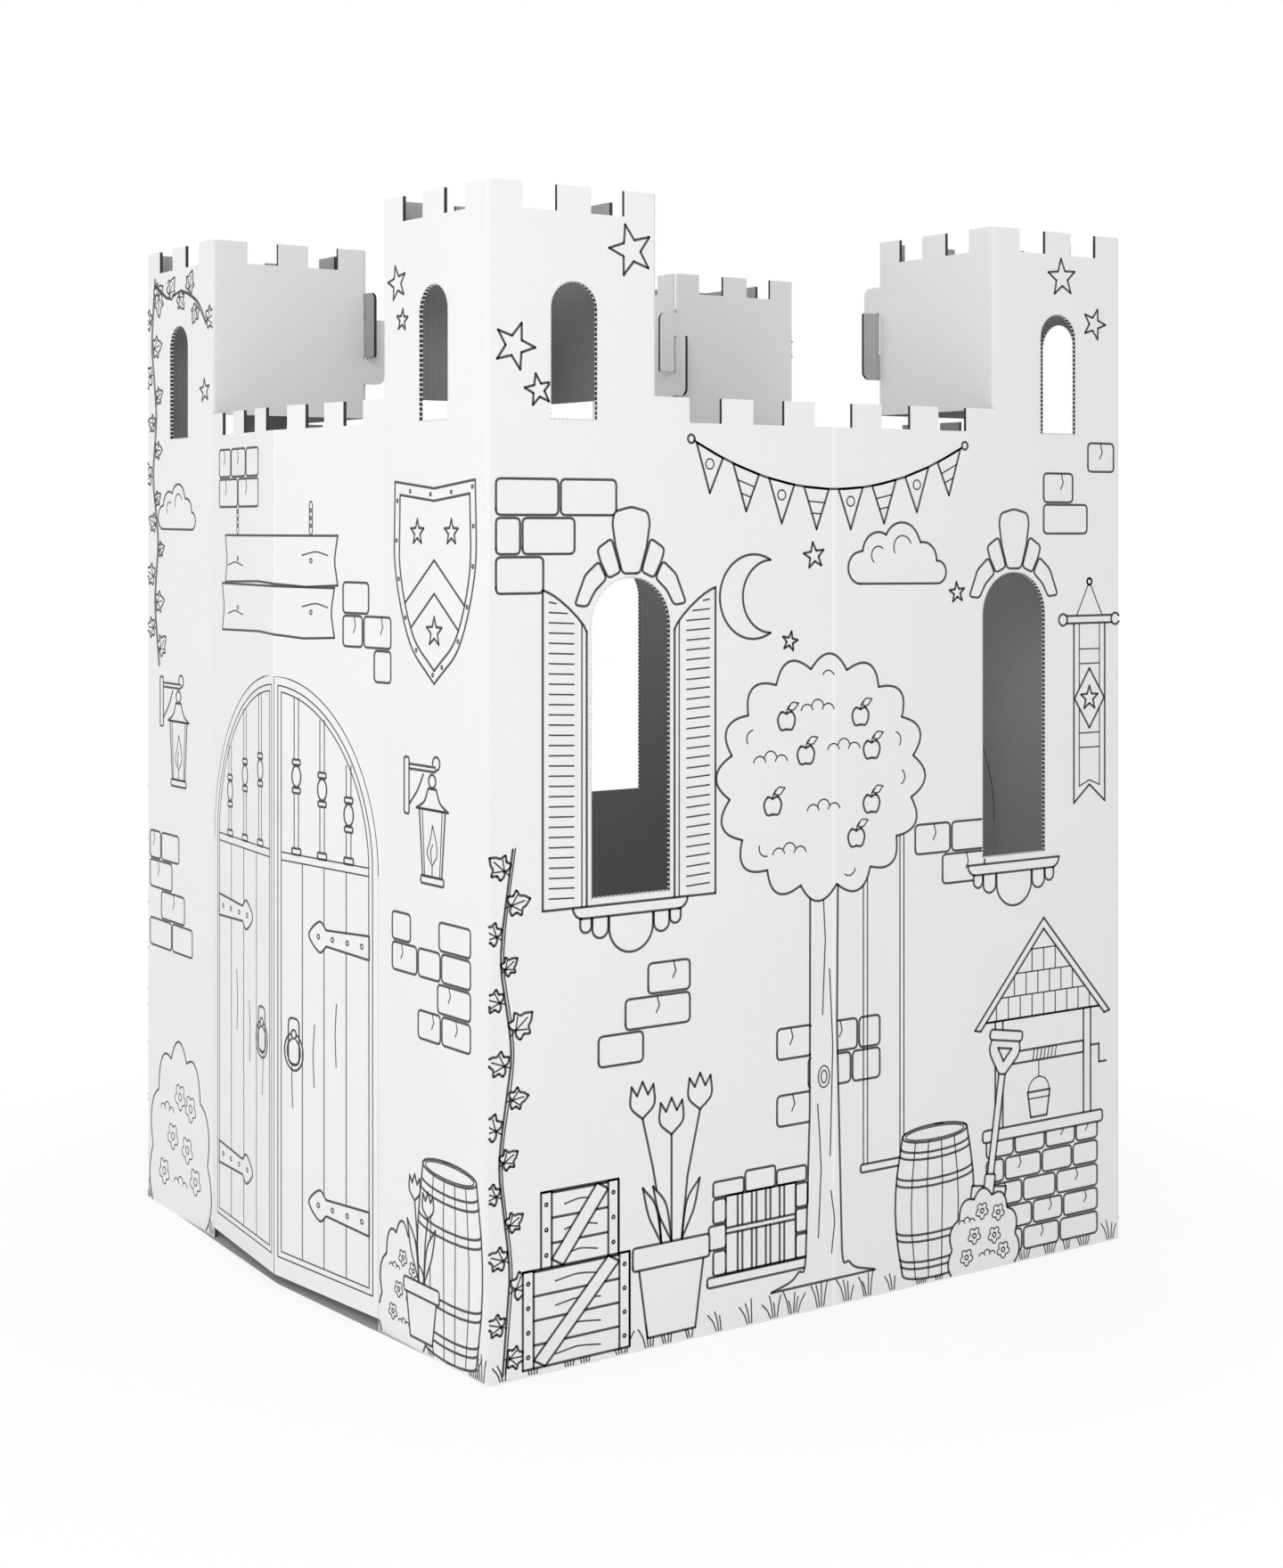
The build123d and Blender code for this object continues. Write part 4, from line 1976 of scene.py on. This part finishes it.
@dataclass
class Studio:
    """A level camera as high as the castle's shoulders, a white floor and soft light from the front."""

    eye: tuple[float, float, float] = (2.521, -1.7035, 0.8673)
    look: tuple[float, float, float] = (-0.821159, 0.570699, 0.0)
    sensor: float = 36.0
    focal_pixels: float = 2720.9
    picture_width: float = 1440.0
    horizon_shift: float = 288.0  # pixels from the picture's middle up to the horizon
    floor_half: float = 30000.0
    blown_out: float = 0.8
    room_floor: float = 0.2  # how high the stretch of floor inside the walls lies
    # By name: place, size and power
    lamps: dict[str, tuple[tuple[float, float, float], float, float]] = field(default_factory=lambda: {
        "Key": ((2.6, -2.0, 1.9), 1.6, 44.0),
        "Fill": ((-1.5, -3.6, 1.6), 2.2, 30.0),
        "Rim": ((2.9, 2.6, 1.7), 2.0, 8.0),
        "Rear": ((-2.8, 2.4, 1.6), 2.4, 40.0),
    })
    aim: tuple[float, float, float] = (0.0, 0.0, 0.6)
    surround: float = 0.55
    plan: CastlePlan = PLAN

    def camera(self) -> None:
        """Sets up the camera."""
        data = bpy.data.cameras.new("Camera")
        data.sensor_fit = "HORIZONTAL"
        data.sensor_width = self.sensor
        data.lens = self.focal_pixels / self.picture_width * self.sensor
        data.shift_y = -self.horizon_shift / self.picture_width
        data.dof.use_dof = False
        camera = in_scene("Camera", data)
        camera.location = self.eye
        camera.rotation_euler = Vector(self.look).to_track_quat("-Z", "Y").to_euler()
        bpy.context.scene.camera = camera

    def floor(self, name: str, corners: list[Place], up: float, finish: StudioFloor) -> None:
        """Lays one stretch of floor.

        Args:
            name: its name.
            corners: its corners, in millimetres.
            up: how high it lies.
            finish: what it is made of.
        """
        mesh = bpy.data.meshes.new(name)
        mesh.from_pydata([(x * MM, y * MM, up * MM) for x, y in corners], [], [range(len(corners))])
        mesh.materials.append(finish.build())
        floor = in_scene(name, mesh)

    def light(self) -> None:
        """Hangs the lamps and lights the room."""
        for name, (place, size, power) in self.lamps.items():
            data = bpy.data.lights.new(name, "AREA")
            data.size = size
            data.energy = power
            lamp = in_scene(name, data)
            lamp.location = place
            lamp.rotation_euler = (Vector(self.aim) - Vector(place)).to_track_quat("-Z", "Y").to_euler()
        world = bpy.data.worlds.new("Studio")
        bpy.context.scene.world = world
        world.use_nodes = True
        tree = world.node_tree
        tree.nodes.clear()
        inputs = {0: in_sight(tree)}
        for key, strength in ((1, self.surround), (2, 1.0)):
            glow = add_node(tree, "ShaderNodeBackground", {"Color": (1, 1, 1, 1), "Strength": strength})
            inputs[key] = glow.outputs[0]
        mixed = add_node(tree, "ShaderNodeMixShader", inputs)
        add_node(tree, "ShaderNodeOutputWorld", {"Surface": mixed.outputs[0]})

    def build(self) -> None:
        """Makes the room, with a stretch of floor of its own inside the castle's walls, painted a darker
        grey as painted shade.
        """
        self.camera()
        half, plan = self.floor_half, self.plan
        edge, front, back = plan.x_side - plan.board, plan.y_front + plan.board, plan.y_back - plan.board
        room = [(-edge, front), (0, front - plan.door_bow), (edge, front), (edge, back), (-edge, back)]
        self.floor(
            "Floor", [(-half, -half), (half, -half), (half, half), (-half, half)], 0.0,
            StudioFloor("White studio floor", "#F6F6F6", "#FCFCFC", blown_out=self.blown_out),
        )
        # Painted shade: the floor inside the walls is a darker grey than the white floor outside
        painted_shade = StudioFloor("Floor painted with the walls' shade", "#A8A8A8", "#B4B4B4")
        self.floor("Room_floor", room, self.room_floor, painted_shade)
        self.light()
        bpy.context.scene.view_settings.view_transform = "Standard"
        log.info("studio: camera, two floors and %d lamps", len(self.lamps))


def main() -> None:
    """Builds the room, the board, the nibs and the prints, in that order."""
    Studio().build()
    papers = (CoatedLiner().build(), GreyLiner().build(), CutEdge().build())
    ink = PrintersInk().build()
    bodies = frame["record"]["behaviour"]["bodies"]
    body_of = {node: body for body, nodes in bodies.items() for node in nodes}
    shell = body_of[SHELL]
    art = WallArt()
    for node, body in body_of.items():
        Board(node, body, papers).build()
    for wall in Wall:
        WindowNibs(f"{wall.value}_window_nibs", wall, shell, papers[0], edge=papers[2]).build()
    for wall in Wall:
        Print(
            f"{wall.value}_wall_print", wall, shell, ink, mirrored=wall in (Wall.BACK, Wall.LEFT),
            motifs=art.door_wall() if wall.has_doors else art.window_wall(),
        ).build()
    for node in [name for name in body_of if name != SHELL]:
        Print(
            f"{node}_print", Wall(node.split("_")[0]), body_of[node], ink, on_leaf=True,
            motifs=[DoorLeafArt(0, 0)], mirrored=node.endswith("left"),
        ).build()


if __name__ == "__main__":
    main()
